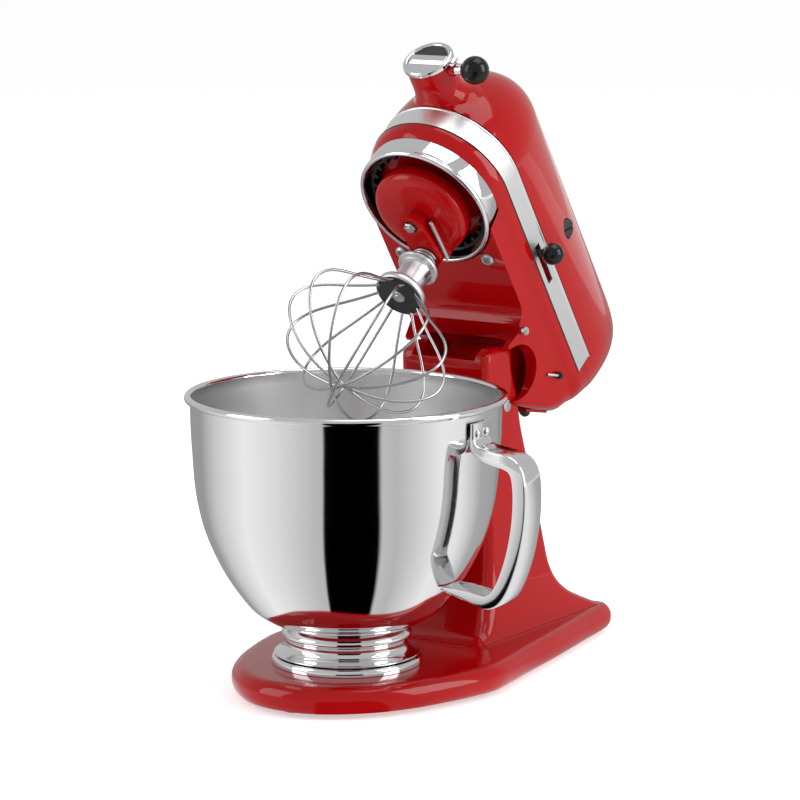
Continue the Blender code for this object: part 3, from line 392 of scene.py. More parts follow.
class Form:
    """A mesh under construction, in millimetres."""

    def __init__(self) -> None:
        """Starts empty."""
        self.mesh = bmesh.new()

    @classmethod
    def turned(
        cls, profile: Sequence[Pair], steps: int = 96, axis: Axis = Axis.UP,
        centre: Sequence[float] = (0.0, 0.0), closed: bool = False,
    ) -> "Form":
        """A profile of (radius, height) pairs spun about a line.

        Args:
            profile: the pairs, which start and end on the axis unless closed.
            steps: sides of the turned shape.
            axis: the line's direction.
            centre: where the line crosses the plane across it.
            closed: whether the profile is a closed ring.

        Returns:
            The closed shape.
        """
        form = cls()
        mesh = form.mesh
        verts = [mesh.verts.new((radius, 0.0, height)) for radius, height in profile]
        edges = [mesh.edges.new(pair) for pair in zip(verts, verts[1:])]
        if closed:
            edges.append(mesh.edges.new((verts[-1], verts[0])))
        bmesh.ops.spin(
            mesh, geom=verts + edges, cent=(0, 0, 0), axis=(0, 0, 1), angle=2 * math.pi, steps=steps,
            use_merge=True,
        )
        return form.closed_up().laid(axis, centre)

    @classmethod
    def carried(cls, loops: Sequence[Loop]) -> "Form":
        """A closed shape extruded through loops of equal length, with flat ends."""
        form = cls()
        mesh = form.mesh
        ring = [mesh.verts.new(point) for point in loops[0]]
        mesh.faces.new(ring)
        edges = [mesh.edges.get((a, b)) for a, b in zip(ring, ring[1:] + ring[:1])]
        for loop in loops[1:]:
            made = bmesh.ops.extrude_edge_only(mesh, edges=edges)["geom"]
            fresh = {v for v in made if isinstance(v, bmesh.types.BMVert)}
            ring = [next(e.other_vert(v) for e in v.link_edges if e.other_vert(v) in fresh) for v in ring]
            for vert, point in zip(ring, loop):
                vert.co = point
            edges = [mesh.edges.get((a, b)) for a, b in zip(ring, ring[1:] + ring[:1])]
        mesh.faces.new(ring)
        return form.closed_up()

    @classmethod
    def rod(
        cls, radius: float, low: float, high: float, centre: Sequence[float] = (0.0, 0.0),
        axis: Axis = Axis.UP, steps: int = 48,
    ) -> "Form":
        """A plain round bar."""
        return cls.turned(((0, high), (radius, high), (radius, low), (0, low)), steps, axis, centre)

    @classmethod
    def block(cls, low: Sequence[float], high: Sequence[float]) -> "Form":
        """A rectangular block between two corners."""
        form = cls()
        bmesh.ops.create_cube(form.mesh, size=1.0)
        bmesh.ops.scale(form.mesh, verts=form.mesh.verts, vec=Vector(high) - Vector(low))
        bmesh.ops.translate(form.mesh, verts=form.mesh.verts, vec=(Vector(high) + Vector(low)) / 2)
        return form

    @classmethod
    def prism(cls, outline: Sequence[Pair], low: float, high: float) -> "Form":
        """An outline of (x, y) pairs carried up from low to high."""
        return cls.carried([[Vector((x, y, z)) for x, y in outline] for z in (low, high)])

    @classmethod
    def side_prism(cls, outline: Sequence[Pair], half_width: float) -> "Form":
        """An outline of (y, z) pairs carried across from -half_width to half_width."""
        return cls.carried([[Vector((x, y, z)) for y, z in outline] for x in (-half_width, half_width)])

    @classmethod
    def tube(cls, points: Sequence[Sequence[float]], radius: float, sides: int = 12) -> "Form":
        """A round tube along points, its rings carried without twist."""
        spots = [Vector(p) for p in points]
        loops, normal = [], None
        for i, spot in enumerate(spots):
            along = (spots[min(i + 1, len(spots) - 1)] - spots[max(i - 1, 0)]).normalized()
            normal = along.orthogonal() if normal is None else normal - along * normal.dot(along)
            normal.normalize()
            across = along.cross(normal)
            ring = arc((0, 0), radius, 0, 360, sides)[:-1]
            loops.append([spot + (normal * x + across * y) for x, y in ring])
        return cls.carried(loops)

    def closed_up(self) -> "Form":
        """Merges doubles and turns every face outwards."""
        bmesh.ops.remove_doubles(self.mesh, verts=self.mesh.verts, dist=1e-4)
        bmesh.ops.recalc_face_normals(self.mesh, faces=self.mesh.faces)
        return self

    def moved(self, change: Matrix) -> "Form":
        """Moves the whole shape."""
        bmesh.ops.transform(self.mesh, matrix=change, verts=self.mesh.verts)
        if change.determinant() < 0:
            bmesh.ops.reverse_faces(self.mesh, faces=self.mesh.faces)
        return self

    def laid(self, axis: Axis, centre: Sequence[float]) -> "Form":
        """Turns the shape's Z to an axis and moves it across to a centre."""
        if axis is Axis.RIGHT:
            return self.moved(Matrix.Translation((0, *centre)) @ turn_of(90, "Y"))
        if axis is Axis.FRONT:
            return self.moved(Matrix.Translation((centre[0], 0, centre[1])) @ turn_of(90, "X"))
        return self.moved(Matrix.Translation((*centre, 0)))

    def mirrored(self) -> "Form":
        """The shape on the other side of the machine."""
        return self.moved(Matrix.Scale(-1, 4, (1, 0, 0)))

    def with_form(self, other: "Form") -> "Form":
        """Adds another shape that stays apart from this one."""
        mesh = bpy.data.meshes.new("added")
        other.mesh.to_mesh(mesh)
        self.mesh.from_mesh(mesh)
        bpy.data.meshes.remove(mesh)
        return self

    def with_tabs(self, outer: float, inner: float, low: float, high: float) -> "Form":
        """Adds the four tabs of a bayonet round the axis, between two radii and two heights."""
        first, span = 22.5, 35
        for quarter in range(4):
            start = first + 90.0 * quarter
            outline = arc((0, 0), outer, start, start + span, 12)
            self.with_form(Form.prism(outline + arc((0, 0), inner, start + span, start, 12), low, high))
        return self

    def loose(self, name: str) -> bpy.types.Object:
        """A helper object that holds the shape for a Boolean."""
        mesh = bpy.data.meshes.new(name)
        self.mesh.to_mesh(mesh)
        return linked(name, mesh)

    def combined(self, tool: "Form", mode: Mode = Mode.CUT, solver: str = "EXACT") -> "Form":
        """Cuts another shape away from this one, or joins it on."""
        whole, other = self.loose("whole"), tool.loose("tool")
        boolean = whole.modifiers.new("boolean", "BOOLEAN")
        boolean.operation, boolean.object, boolean.solver = mode.value, other, solver
        graph = bpy.context.evaluated_depsgraph_get()
        result = bpy.data.meshes.new_from_object(whole.evaluated_get(graph))
        fresh = bmesh.new()
        fresh.from_mesh(result)
        for helper in (whole, other):
            mesh = helper.data
            bpy.data.objects.remove(helper)
            bpy.data.meshes.remove(mesh)
        bpy.data.meshes.remove(result)
        self.mesh.free()
        tool.mesh.free()
        self.mesh = fresh
        return self

    def piece(
        self, name: str, body: str, finish: Finishes, replaces: Sequence[str] = (), bevel: float = 0.0,
        smooth_angle: float = 30.0,
    ) -> bpy.types.Object:
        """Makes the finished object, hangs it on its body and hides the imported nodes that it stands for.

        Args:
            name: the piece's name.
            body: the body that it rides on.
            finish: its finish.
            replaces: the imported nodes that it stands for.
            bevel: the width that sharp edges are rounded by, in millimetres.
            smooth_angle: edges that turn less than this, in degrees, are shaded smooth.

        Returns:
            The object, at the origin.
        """
        self.moved(Matrix.Scale(MM, 4))
        mesh = bpy.data.meshes.new(name)
        self.mesh.to_mesh(mesh)
        self.mesh.free()
        mesh.shade_smooth()
        mesh.set_sharp_from_angle(angle=math.radians(smooth_angle))
        mesh.materials.append(finish.value.material())
        made = linked(name, mesh)
        if bevel:
            rounding = made.modifiers.new("rounding", "BEVEL")
            rounding.width, rounding.segments = bevel * MM, 3
            rounding.limit_method, rounding.angle_limit = "ANGLE", math.radians(BEVEL_ANGLE)
        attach(made, body)
        if replaces:
            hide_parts(*replaces)
        log.info("%s rides on %s", name, body)
        return made

    def head_piece(self, *args: Any, **options: Any) -> bpy.types.Object:
        """Makes a piece, as piece() does, from a shape that is drawn with the head lowered."""
        return self.moved(HEAD).piece(*args, **options)


def slots_for(made: bpy.types.Object, finish: Finishes, chosen: Callable[[Any], bool]) -> None:
    """Gives the faces that a test picks a second finish."""
    made.data.materials.append(finish.value.material())
    for face in made.data.polygons:
        if chosen(face):
            face.material_index = 1


# ---------------------------------------------------------------- the head's frame and outline

@dataclass
class Tilt:
    """Where the head's hinge is, and what carries a shape from the lowered head to the head at rest."""

    hinge: Vector = field(default_factory=lambda: Vector((0.0, 148.0, 182.6)))

    def matrix(self) -> Matrix:
        """The turn about the hinge pin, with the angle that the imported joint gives."""
        joint = next(j for j in frame["joints"] if j["name"] == "head_tilt")
        turn = turn_of(-joint["range_deg"][1], "X")
        return Matrix.Translation(self.hinge) @ turn @ Matrix.Translation(-self.hinge)


TILT = Tilt()
HEAD = TILT.matrix()


@dataclass
class HeadOutline:
    """The head's outline at any height, with the head lowered."""

    nose: float = 54.0
    band_low: float = 249.0
    band_high: float = 268.3
    band_end: float = 175.0
    seam: float = 258.6
    ring_top: float = 238.0
    recess: float = 2.2
    dome: float = 85.0
    rear: float = 226.0
    squareness: float = 2.8
    shoulder: float = 330.0
    crown: float = 23.3
    crown_pull: float = 36.0
    rear_lean: float = 11.0
    vent_top: float = 227.0
    vent_rear: float = 198.0
    vent_step: float = 17.0
    ring_width: float = 50.3
    slot_front: float = 60.0
    slot_rear: float = 94.0
    slot_low: float = 254.6
    slot_high: float = 260.6

    def rear_y(self, height: float) -> float:
        """Where the head ends behind."""
        if height >= self.shoulder:
            return self.rear - self.crown_pull * ((height - self.shoulder) / self.crown) ** 2.2
        if height >= self.band_high:
            return self.rear - self.rear_lean * (self.shoulder - height) / (self.shoulder - self.band_high)
        if height >= self.vent_top:
            share = (height - self.vent_top) / (self.band_high - self.vent_top)
            return self.vent_rear + self.vent_step * share
        return self.vent_rear - (self.vent_top - height)

    def half_width(self, height: float) -> float:
        """The half-width, which is also the nose's radius."""
        if height >= self.band_high:
            return self.nose * math.sqrt(max(0.0, 1 - ((height - self.band_high) / self.dome) ** 2))
        if height >= self.ring_top:
            share = min(1.0, (height - self.ring_top) / 10.0)
            return self.ring_width + 3.7 * math.sin(math.pi / 2 * share)
        return self.ring_width - 0.12 * (self.ring_top - height)

    def loop(self, height: float, inset: float = 0.0, recess: float = 0.0) -> list[Vector]:
        """The outline as points: a round nose, straight sides and a squared rear end.

        Args:
            height: the loop's height.
            inset: how far the whole loop stands in.
            recess: how far the nose and the sides stand in further.

        Returns:
            The points, anticlockwise.
        """
        width = self.half_width(height) - inset
        front, width = max(width - recess, 0.4), max(width, 0.5)
        straight = min(self.band_end, self.rear_y(height) - 12.0)
        rear = max(self.rear_y(height) - inset - straight, 3.0)
        nose = arc((0, 0), front, 180, 360, 56)
        right = [(front, straight * i / 8) for i in range(1, 9)]
        end = []
        for i in range(33):
            angle = math.pi * i / 32
            across = math.copysign(abs(math.cos(angle)) ** (2 / self.squareness), math.cos(angle))
            end.append((width * across, straight + 0.3 + rear * math.sin(angle) ** (2 / self.squareness)))
        left = [(-x, y) for x, y in reversed(right)]
        return [Vector((x, y, height)) for x, y in nose + right + end + left]


OUTLINE = HeadOutline()


def lever_slots(form: Form) -> Form:
    """Cuts the two levers' slots."""
    for side in (1, -1):
        left, right = sorted((side * 40.0, side * 70.0))
        near = (left, OUTLINE.slot_front, OUTLINE.slot_low)
        form.combined(Form.block(near, (right, OUTLINE.slot_rear, OUTLINE.slot_high)))
    return form


# ---------------------------------------------------------------- stand

@dataclass
class Stand:
    """The base casting, the column, the feet, the clamp plate and the hinge pin's ends."""

    base_top: float = 22.0
    outline: tuple[Pair, ...] = (
        (0.0, -82.0), (21.0, -79.0), (41.0, -68.0), (60.0, -49.0), (73.0, -27.0), (82.0, -4.0), (89.5, 22.0),
        (93.5, 46.0), (90.0, 74.0), (85.5, 100.0), (79.0, 147.0), (73.5, 180.0), (68.5, 209.0), (62.5, 246.0),
        (58.0, 255.5), (49.0, 258.0), (0.0, 258.0),
    )
    levels: tuple[Pair, ...] = (
        (16.5, -5.0), (4.2, -5.0), (4.0, -4.8), (4.0, -0.6), (4.5, 0.0), (6.5, 1.3), (9.0, 2.2), (12.0, 2.4),
        (15.0, 2.1), (17.5, 1.1), (19.5, -0.4), (21.0, -2.4), (21.8, -4.6), (22.0, -7.5),
    )
    sections: tuple[tuple[float, ...], ...] = (
        (22.1, 57.6, 80.0, 251.0, 10.0), (24.0, 56.2, 85.0, 247.0, 11.0), (27.0, 55.2, 90.0, 240.5, 12.0),
        (31.0, 54.2, 94.0, 231.0, 12.0), (38.0, 52.2, 100.0, 217.0, 12.0), (48.0, 49.6, 106.0, 204.5, 11.0),
        (62.0, 47.0, 111.0, 196.5, 10.0), (85.0, 44.8, 115.0, 190.5, 9.0), (109.0, 42.4, 118.0, 185.0, 8.0),
        (135.0, 39.4, 120.0, 178.5, 7.0), (162.0, 37.2, 121.0, 171.0, 6.0), (178.0, 37.0, 121.0, 167.0, 6.0),
        (193.0, 37.0, 121.0, 162.5, 6.0), (206.0, 37.0, 121.0, 157.5, 6.0), (218.0, 37.0, 121.0, 156.0, 6.0),
        (222.5, 36.5, 124.5, 154.8, 6.0), (225.2, 35.0, 131.0, 151.5, 6.0),
    )
    feet: tuple[tuple[str, float, float], ...] = (
        ("foot_centre", 0.0, 0.0), ("foot_front", 0.0, -62.0), ("foot_left", 72.0, 40.0),
        ("foot_right", -72.0, 40.0), ("foot_rear_left", 48.0, 236.0), ("foot_rear_right", -48.0, 236.0),
    )
    yoke_front: float = 130.0
    yoke_floor: float = 158.0
    shelf_front: float = 110.0
    shelf: float = 217.5
    yoke_rear: float = 180.0
    yoke_top: float = 240.0
    plate_radius: float = 52.0

    def base_loop(self, height: float, grow: float) -> list[Vector]:
        """The base's outline at one height, moved outwards by grow."""
        whole = list(self.outline) + [(-x, y) for x, y in reversed(self.outline[1:-1])]
        fine = [Vector(p) for p in smooth(whole, 5, closed=True)]
        loop = []
        for i, point in enumerate(fine):
            along = fine[(i + 1) % len(fine)] - fine[i - 1]
            place = point + Vector((along.y, -along.x)).normalized() * grow
            loop.append(Vector((place.x, place.y, height)))
        return loop

    def base(self) -> None:
        """The base casting with its open underside, and its rubber feet."""
        form = Form.carried([self.base_loop(z, grow) for z, grow in self.levels])
        form.piece("base_enamelled", "stand", Finishes.ENAMEL, ["base_casting"])
        profile = (
            (0, 16.4), (9.4, 16.4), (9.4, 6.0), (9.0, 5.6), (9.0, 1.2), (8.6, 0.4), (7.8, 0.0), (0, 0.0),
        )
        for name, x, y in self.feet:
            Form.turned(profile, 40, centre=(x, y)).piece(f"{name}_pad", "stand", Finishes.RUBBER, [name])

    def column(self) -> None:
        """The column with its two ears round the head's hinge boss."""
        fine = smooth(self.sections, 3)
        loops = []
        for height, width, front, rear, radius in fine:
            corners = (
                ((width - radius, rear - radius), 0), ((-width + radius, rear - radius), 90),
                ((-width + radius, front + radius), 180), ((width - radius, front + radius), 270),
            )
            points = [p for centre, start in corners for p in arc(centre, radius, start, start + 90, 8)]
            loops.append([Vector((x, y, height)) for x, y in points])
        form = Form.carried(loops)
        far = (EAR_INNER, self.yoke_rear, self.yoke_top)
        for near in ((self.yoke_front, self.yoke_floor), (self.shelf_front, self.shelf)):
            form.combined(Form.block((-EAR_INNER, *near), far))
        form.piece("column_enamelled", "stand", Finishes.ENAMEL, ["column"], bevel=1.6, smooth_angle=32)
        y, z = TILT.hinge.y, TILT.hinge.z
        cap = ((0, 37.6), (3.4, 37.6), (4.4, 37.35), (4.6, 36.6), (4.6, 28.0), (0, 28.0))
        pin = Form.turned(cap, 40, Axis.RIGHT, (y, z))
        pin.with_form(Form.turned(cap, 40, Axis.RIGHT, (y, z)).mirrored())
        pin.piece("hinge_pin_ends", "stand", Finishes.CHROME, ["hinge_pin"])

    def clamp_plate(self) -> None:
        """The bright plate that holds the bowl, with its four tabs."""
        low, radius = self.base_top + GAP, self.plate_radius
        profile = (
            (0, 24.4), (47.4, 24.4), (47.8, 24.8), (47.8, 26.9), (48.2, 27.4), (49.9, 27.4), (50.8, 27.1),
            (51.7, 26.2), (radius, 25.2), (radius, low), (0, low),
        )
        form = Form.turned(profile, 128).with_tabs(48.4, 45.0, 26.5, 27.2)
        form.piece("clamp_plate_bright", "stand", Finishes.CHROME, ["bowl_clamp_plate"])

    def build(self) -> None:
        """Builds every piece of the stand."""
        self.base()
        self.column()
        self.clamp_plate()


# ---------------------------------------------------------------- bowl

@dataclass
class Bowl:
    """The polished bowl with its rolled rim, turned foot and riveted channel handle."""

    rim_radius: float = 110.5
    rim_tube: float = 2.5
    rim_height: float = 207.0
    wall: float = 1.2
    profile: tuple[Pair, ...] = (
        (107.2, 204.8), (106.6, 200.0), (106.0, 182.0), (105.0, 165.0), (103.8, 148.0), (101.4, 132.0),
        (97.0, 115.0), (90.3, 98.5), (81.5, 82.0), (69.0, 64.5), (61.0, 57.0), (50.0, 50.8), (44.0, 48.9),
    )
    handle_path: tuple[Pair, ...] = (
        (107.4, 199.5), (107.4, 193.0), (107.7, 187.0), (111.5, 182.4), (123.0, 180.2), (135.0, 178.4),
        (142.2, 174.6), (146.3, 166.8), (147.7, 152.0), (146.4, 132.3), (142.0, 110.9), (135.2, 92.3),
        (128.6, 82.0), (121.8, 77.8), (114.2, 78.2), (100.0, 82.0), (84.8, 86.4),
    )
    flange_depths: tuple[float, ...] = (
        0.0, 0.0, 1.0, 4.0, 6.5, 7.0, 7.0, 7.0, 7.0, 7.0, 7.0, 7.0, 7.0, 7.0, 6.0, 4.0, 0.0,
    )
    handle_half: float = 11.0
    thickness: float = 2.6
    rivet_offset: float = 5.5
    rivet_height: float = 192.5

    def shell(self) -> None:
        """The bowl, mirror polished outside and brushed inside."""
        tube = (self.rim_radius - self.rim_tube, self.rim_height)
        outer = arc(tube, self.rim_tube, 200, -62, 20) + smooth(self.profile, 4)
        inner = [(r - self.wall, z + 0.5) for r, z in smooth(self.profile[1:], 4)]
        floor, under = [(0, 52.6), (12.0, 51.6), (34.0, 50.2)], [(30.0, 48.6), (0, 48.6)]
        made = Form.turned(floor + inner[::-1] + outer + under, 192).piece(
            "bowl_polished", "bowl", Finishes.BOWL_OUTSIDE, ["bowl_shell"], smooth_angle=40
        )
        top = (self.rim_height - 3.0) * MM

        def inside(face: Any) -> bool:
            """Whether a face looks towards the bowl's axis, below the rim."""
            away = Vector((face.center.x, face.center.y, 0.0))
            return face.center.z < top and (face.normal.dot(away.normalized()) < -0.02 or face.normal.z > 0.3)

        slots_for(made, Finishes.BOWL_INSIDE, inside)

    def foot(self) -> None:
        """The turned foot ring with its four lugs."""
        foot = smooth((
            (44.0, 27.8), (48.6, 28.1), (50.0, 28.6), (50.0, 29.5), (46.6, 30.8), (43.4, 33.0), (42.2, 36.0),
            (43.0, 39.4), (44.6, 41.2), (45.0, 42.8), (44.4, 44.8), (41.0, 48.2),
        ), 4)
        inner = [(37.5, 48.2), (37.5, 28.0), (36.4, 24.8), (44.0, 24.8)]
        form = Form.turned(list(foot) + inner, 128, closed=True).with_tabs(47.0, 43.0, 24.8, 26.1)
        form.piece("bowl_foot_bright", "bowl", Finishes.CHROME, ["bowl_foot_ring"], smooth_angle=40)

    def handle(self) -> None:
        """The bent channel handle: an outer face with a flange down each side."""
        path = smooth([(*p, d) for p, d in zip(self.handle_path, self.flange_depths)], 4)
        half, thick = self.handle_half, self.thickness
        loops = []
        for i, (x, z, depth) in enumerate(path):
            before, after = path[max(i - 1, 0)], path[min(i + 1, len(path) - 1)]
            along = Vector((after[0] - before[0], after[1] - before[1])).normalized()
            out = Vector((-along.y, along.x))
            section = [
                (-half, -depth), (-half, thick - 1.2), (-half + 0.5, thick - 0.4), (-half + 1.4, thick),
            ]
            section += [(0.0, thick)] + [(-y, n) for y, n in reversed(section)]
            section += [(half - 1.7, -depth), (half - 1.7, 0.2), (-half + 1.7, 0.2), (-half + 1.7, -depth)]
            loops.append([Vector((x + out.x * n, y, z + out.y * n)) for y, n in section])
        form = Form.carried(loops)
        form.piece("handle_channel", "bowl", Finishes.HANDLE, ["bowl_handle"], bevel=0.5, smooth_angle=35)
        profile = (
            (0, 112.0), (1.6, 111.8), (2.6, 111.3), (3.1, 110.5), (3.1, 110.1), (1.4, 110.1), (1.4, 107.0),
            (0, 107.0),
        )
        for name, side in (("handle_rivet_front", -1), ("handle_rivet_rear", 1)):
            spot = (side * self.rivet_offset, self.rivet_height)
            rivet = Form.turned(profile, 32, Axis.RIGHT, spot)
            rivet.piece(f"{name}_head", "bowl", Finishes.STEEL, [name])

    def build(self) -> None:
        """Builds every piece of the bowl."""
        self.shell()
        self.foot()
        self.handle()


# ---------------------------------------------------------------- head

@dataclass
class Head:
    """The two head castings with the trim band, the drip ring and their fittings."""

    wall: float = 3.2
    seam_inset: float = 1.3
    hub_radius: float = 16.8
    hub_bore: float = 12.4
    brush_bore: float = 7.6
    ring_bore: float = 51.3
    under: float = 150.0
    rim_relief: Pair = (114.3, 216.0)
    sweep: float = 47.5
    boss_radius: float = 16.5
    motor_height: float = 302.0
    brush_y: float = 82.6
    screws: tuple[Pair, ...] = ((36.0, 45.0), (-36.0, 45.0))

    def housing(self) -> None:
        """The upper casting: the dome with the hub's neck growing out of its nose."""
        high, dome = OUTLINE.band_high, OUTLINE.dome
        heights = [high + dome * math.sin(math.radians(a)) for a in (0.4, *range(4, 87, 4), 88)]
        low = [OUTLINE.seam + GAP, high - 0.1]
        inner = [OUTLINE.loop(z, self.wall) for z in reversed(heights[:-4:2])]
        inner += [OUTLINE.loop(z, self.wall + self.seam_inset) for z in reversed(low)]
        outer = [OUTLINE.loop(z, recess=OUTLINE.recess) for z in low]
        outer += [OUTLINE.loop(z) for z in heights] + [OUTLINE.loop(high + dome * 0.9997)]
        form = Form.carried(inner + outer)
        neck = smooth((
            (self.hub_radius, 72.0), (self.hub_radius, 64.0), (17.2, 58.5), (18.6, 54.0), (21.4, 49.9),
            (25.6, 46.2), (31.0, 40.0),
        ), 4)
        flare = [(0, 79.0), (16.4, 79.0), (self.hub_radius, 78.6), *neck, (31.0, 34.0), (0, 34.0)]
        form.combined(Form.turned(flare, 96, Axis.FRONT, (0.0, HUB_HEIGHT)), Mode.ADD)
        radius = OUTLINE.nose - OUTLINE.recess + GAP / 2
        seat = arc((0, 0), 75.0, 180, 360, 56) + arc((0, 0), radius, 360, 180, 56)
        form.combined(Form.prism(seat, 240.0, high))
        boss = ((0, 20.9), (4.3, 20.9), (4.9, 20.3), (4.9, 10.0), (0, 10.0))
        form.combined(Form.turned(boss, 32, Axis.RIGHT, (KNOB_Y, HUB_HEIGHT)), Mode.ADD)
        form.combined(Form.rod(self.hub_bore, 34.0, 85.0, (0.0, HUB_HEIGHT), Axis.FRONT))
        form.combined(Form.rod(self.brush_bore, -70.0, 70.0, (self.brush_y, self.motor_height), Axis.RIGHT))
        lever_slots(form)
        form.head_piece("housing_enamelled", "head", Finishes.ENAMEL, ["motor_housing"], smooth_angle=34)

    def gearcase(self) -> None:
        """The lower casting: drip ring seat, underside, notches round the column and the hinge boss."""
        heights = (
            186.0, 187.5, 190.0, 195.0, 200.0, 206.0, 213.0, 220.0, 227.0, 232.0, 238.0, 239.5, 241.0, 243.0,
            245.5, 248.8,
        )
        insets = (7.0, 5.0, 3.5, 2.6, 2.0, 1.5, 1.0, 0.5, *([0.0] * 8))
        low, high = OUTLINE.band_low, OUTLINE.seam
        form = Form.carried(
            [OUTLINE.loop(z, self.wall + self.seam_inset) for z in (242.0, high)]
            + [OUTLINE.loop(z, recess=OUTLINE.recess) for z in (high, low)]
            + [OUTLINE.loop(z, inset) for z, inset in reversed(tuple(zip(heights, insets)))]
        )
        hinge, under = TILT.hinge, self.under
        form.combined(Form.rod(self.ring_bore, under, OUTLINE.ring_top, steps=128))
        curve = smooth((
            (86.0, 224.0), (91.0, 223.0), (95.5, 220.6), (99.0, 216.5), (101.5, 210.0), (103.0, 203.0),
        ), 4)
        form.combined(Form.side_prism([(-70.0, under), (-70.0, 224.0), *curve, (103.0, under)], 80.0))
        relief_radius, relief_top = self.rim_relief
        form.combined(Form.rod(relief_radius, under, relief_top, steps=128))
        form.combined(Form.rod(21.0, -80.0, 80.0, (130.0, 198.0), Axis.RIGHT, 96))
        form.combined(Form.block((-80.0, 100.0, under), (80.0, 147.0, 200.0)))
        bend = arc((hinge.y, hinge.z), self.sweep, 180, 59, 40)
        sweep = [(hinge.y - self.sweep, under), *bend, (hinge.y + 24.4, under)]
        form.combined(Form.side_prism(sweep, 37.9))
        bend = arc((hinge.y, hinge.z), self.boss_radius, 180, 350, 32)
        boss = [(132.5, 236.0), (132.5, 190.0), *bend, (166.0, 236.0)]
        form.combined(Form.side_prism(boss, EAR_INNER - GAP), Mode.ADD)
        opening = ((174.0, 214.0), (196.0, 237.0), (190.0, 250.0), (174.0, 250.0))
        form.combined(Form.side_prism(opening, 30.0), solver="MANIFOLD")
        form.combined(Form.side_prism(self.vent_outline(GAP), 34.3), solver="MANIFOLD")
        lever_slots(form)
        name = "gearcase"
        form.head_piece(f"{name}_enamelled", "head", Finishes.ENAMEL, [name], bevel=0.7, smooth_angle=34)

    @staticmethod
    def vent_outline(grow: float) -> list[Pair]:
        """The sloping vent plate's section, in y and z."""
        low, high = Vector((173.0, 202.6)), Vector((193.2, 222.8))
        along = (high - low).normalized()
        inward = Vector((-along.y, along.x))
        low, high = low - along * grow, high + along * grow
        face, depth = (1.0 if grow else 0.0), inward * (2.4 + grow)
        return [tuple(p) for p in (low - inward * face, high - inward * face, high + depth, low + depth)]

    def trim(self) -> None:
        """The bright band round the nose and along both sides, and the drip ring."""
        inner, outer = OUTLINE.nose - OUTLINE.recess + GAP, OUTLINE.nose + 0.4
        low, high = OUTLINE.band_low + GAP, OUTLINE.band_high - GAP
        section = [
            (inner, low), (outer - 0.5, low), (outer, low + 0.5), (outer, low + 1.6),
            (outer - 0.5, low + 2.1), (outer - 0.5, high - 2.1), (outer, high - 1.6), (outer, high - 0.5),
            (outer - 0.5, high), (inner, high),
        ]
        stations = [(Vector((0, y)), 0.0) for y in (174.7, 140.0, 90.0, 45.0)]
        stations += [(Vector((0, 0)), angle) for angle in range(0, -181, -3)]
        stations += [(Vector((0, y)), 180.0) for y in (45.0, 90.0, 140.0, 174.7)]
        loops = []
        for centre, angle in stations:
            way = Vector((math.cos(math.radians(angle)), math.sin(math.radians(angle))))
            loops.append([Vector((centre.x + way.x * r, centre.y + way.y * r, z)) for r, z in section])
        form = lever_slots(Form.carried(loops))
        made = form.head_piece("trim_band_bright", "head", Finishes.TRIM, ["trim_band"], smooth_angle=25)
        # the band's top and bottom edge faces get a dark finish: painted shade along the band's edges
        self.paint_edge_shade(made)
        lip = smooth((
            (50.3, 237.7), (50.3, 234.0), (50.1, 230.0), (49.7, 226.9), (49.5, 225.7), (50.1, 224.8),
            (50.3, 223.6), (49.9, 222.4), (48.9, 221.7), (47.7, 221.9), (47.0, 223.0), (46.9, 226.0),
            (46.8, 237.7),
        ), 4)
        form = Form.turned(lip, 160, closed=True)
        form.head_piece("drip_ring_bright", "head", Finishes.CHROME, ["drip_ring"], smooth_angle=45)

    def paint_edge_shade(self, made: bpy.types.Object) -> None:
        """Gives the band's top and bottom edge faces a dark finish as painted shade, standing in for the
        shaded gaps where the band meets its seat.
        """
        back = HEAD.inverted()
        ends = (OUTLINE.band_low + GAP + 0.55, OUTLINE.band_high - GAP - 0.55)

        def at_edge(face: Any) -> bool:
            """Whether a face lies in the outermost half millimetre of the band."""
            height = (back @ (Vector(face.center) / MM)).z
            return not ends[0] < height < ends[1]

        # the dark finish on these faces is painted shade along the band's edges
        slots_for(made, Finishes.DARK, at_edge)

    def small_parts(self) -> None:
        """The side screw and the black-tipped locking pin."""
        head = ((0, 1.1), (1.3, 1.1), (1.3, 0.5), (2.6, 0.8), (3.1, 0.3), (3.1, -2.0), (0, -2.0))
        lift = Matrix.Translation((49.8, 105.6, 217.0)) @ turn_of(90, "Y")
        Form.turned(head, 32).moved(lift).head_piece("side_screw_1", "head", Finishes.STEEL)
        pin = Form.tube(((48.6, 153.0, 222.5), (51.2, 157.5, 227.0), (51.8, 160.0, 229.5)), 1.1, 16)
        pin.head_piece("lock_pin", "head", Finishes.STEEL)
        tip = ((0, 3.0), (1.6, 2.6), (2.6, 1.4), (2.8, 0.0), (2.3, -1.7), (1.2, -2.6), (0, -2.8))
        lift = Matrix.Translation((51.6, 161.2, 230.8)) @ turn_of(-45, "X")
        Form.turned(tip, 32).moved(lift).head_piece("lock_pin_tip", "head", Finishes.BLACK)

    def fittings(self) -> None:
        """The brush caps and the case screws."""
        for side, name in ((1, "left"), (-1, "right")):
            profile = ((0, 50.6), (5.4, 50.8), (6.6, 50.5), (7.2, 49.7), (7.2, 43.4), (0, 43.4))
            form = Form.turned(profile, 64, Axis.RIGHT, (self.brush_y, self.motor_height))
            slot = Form.block((49.4, -0.9, -9.0), (53.0, 0.9, 9.0))
            slot.moved(Matrix.Translation((0, self.brush_y, self.motor_height)) @ turn_of(-24, "X"))
            form.combined(slot)
            form = form if side > 0 else form.mirrored()
            cap = f"brush_cap_{name}"
            form.head_piece(f"{cap}_slotted", "head", Finishes.DARK, [cap], bevel=0.2)
        head = (
            (0, 223.0), (2.2, 223.0), (2.2, 221.4), (3.6, 221.2), (4.6, 222.0), (5.0, 223.0), (5.0, 223.7),
            (0, 223.7),
        )
        for i, spot in enumerate(self.screws, 1):
            form = Form.turned(head, 40, centre=spot)
            form.head_piece(f"gearcase_screw_{i}_head", "head", Finishes.STEEL, [f"gearcase_screw_{i}"])

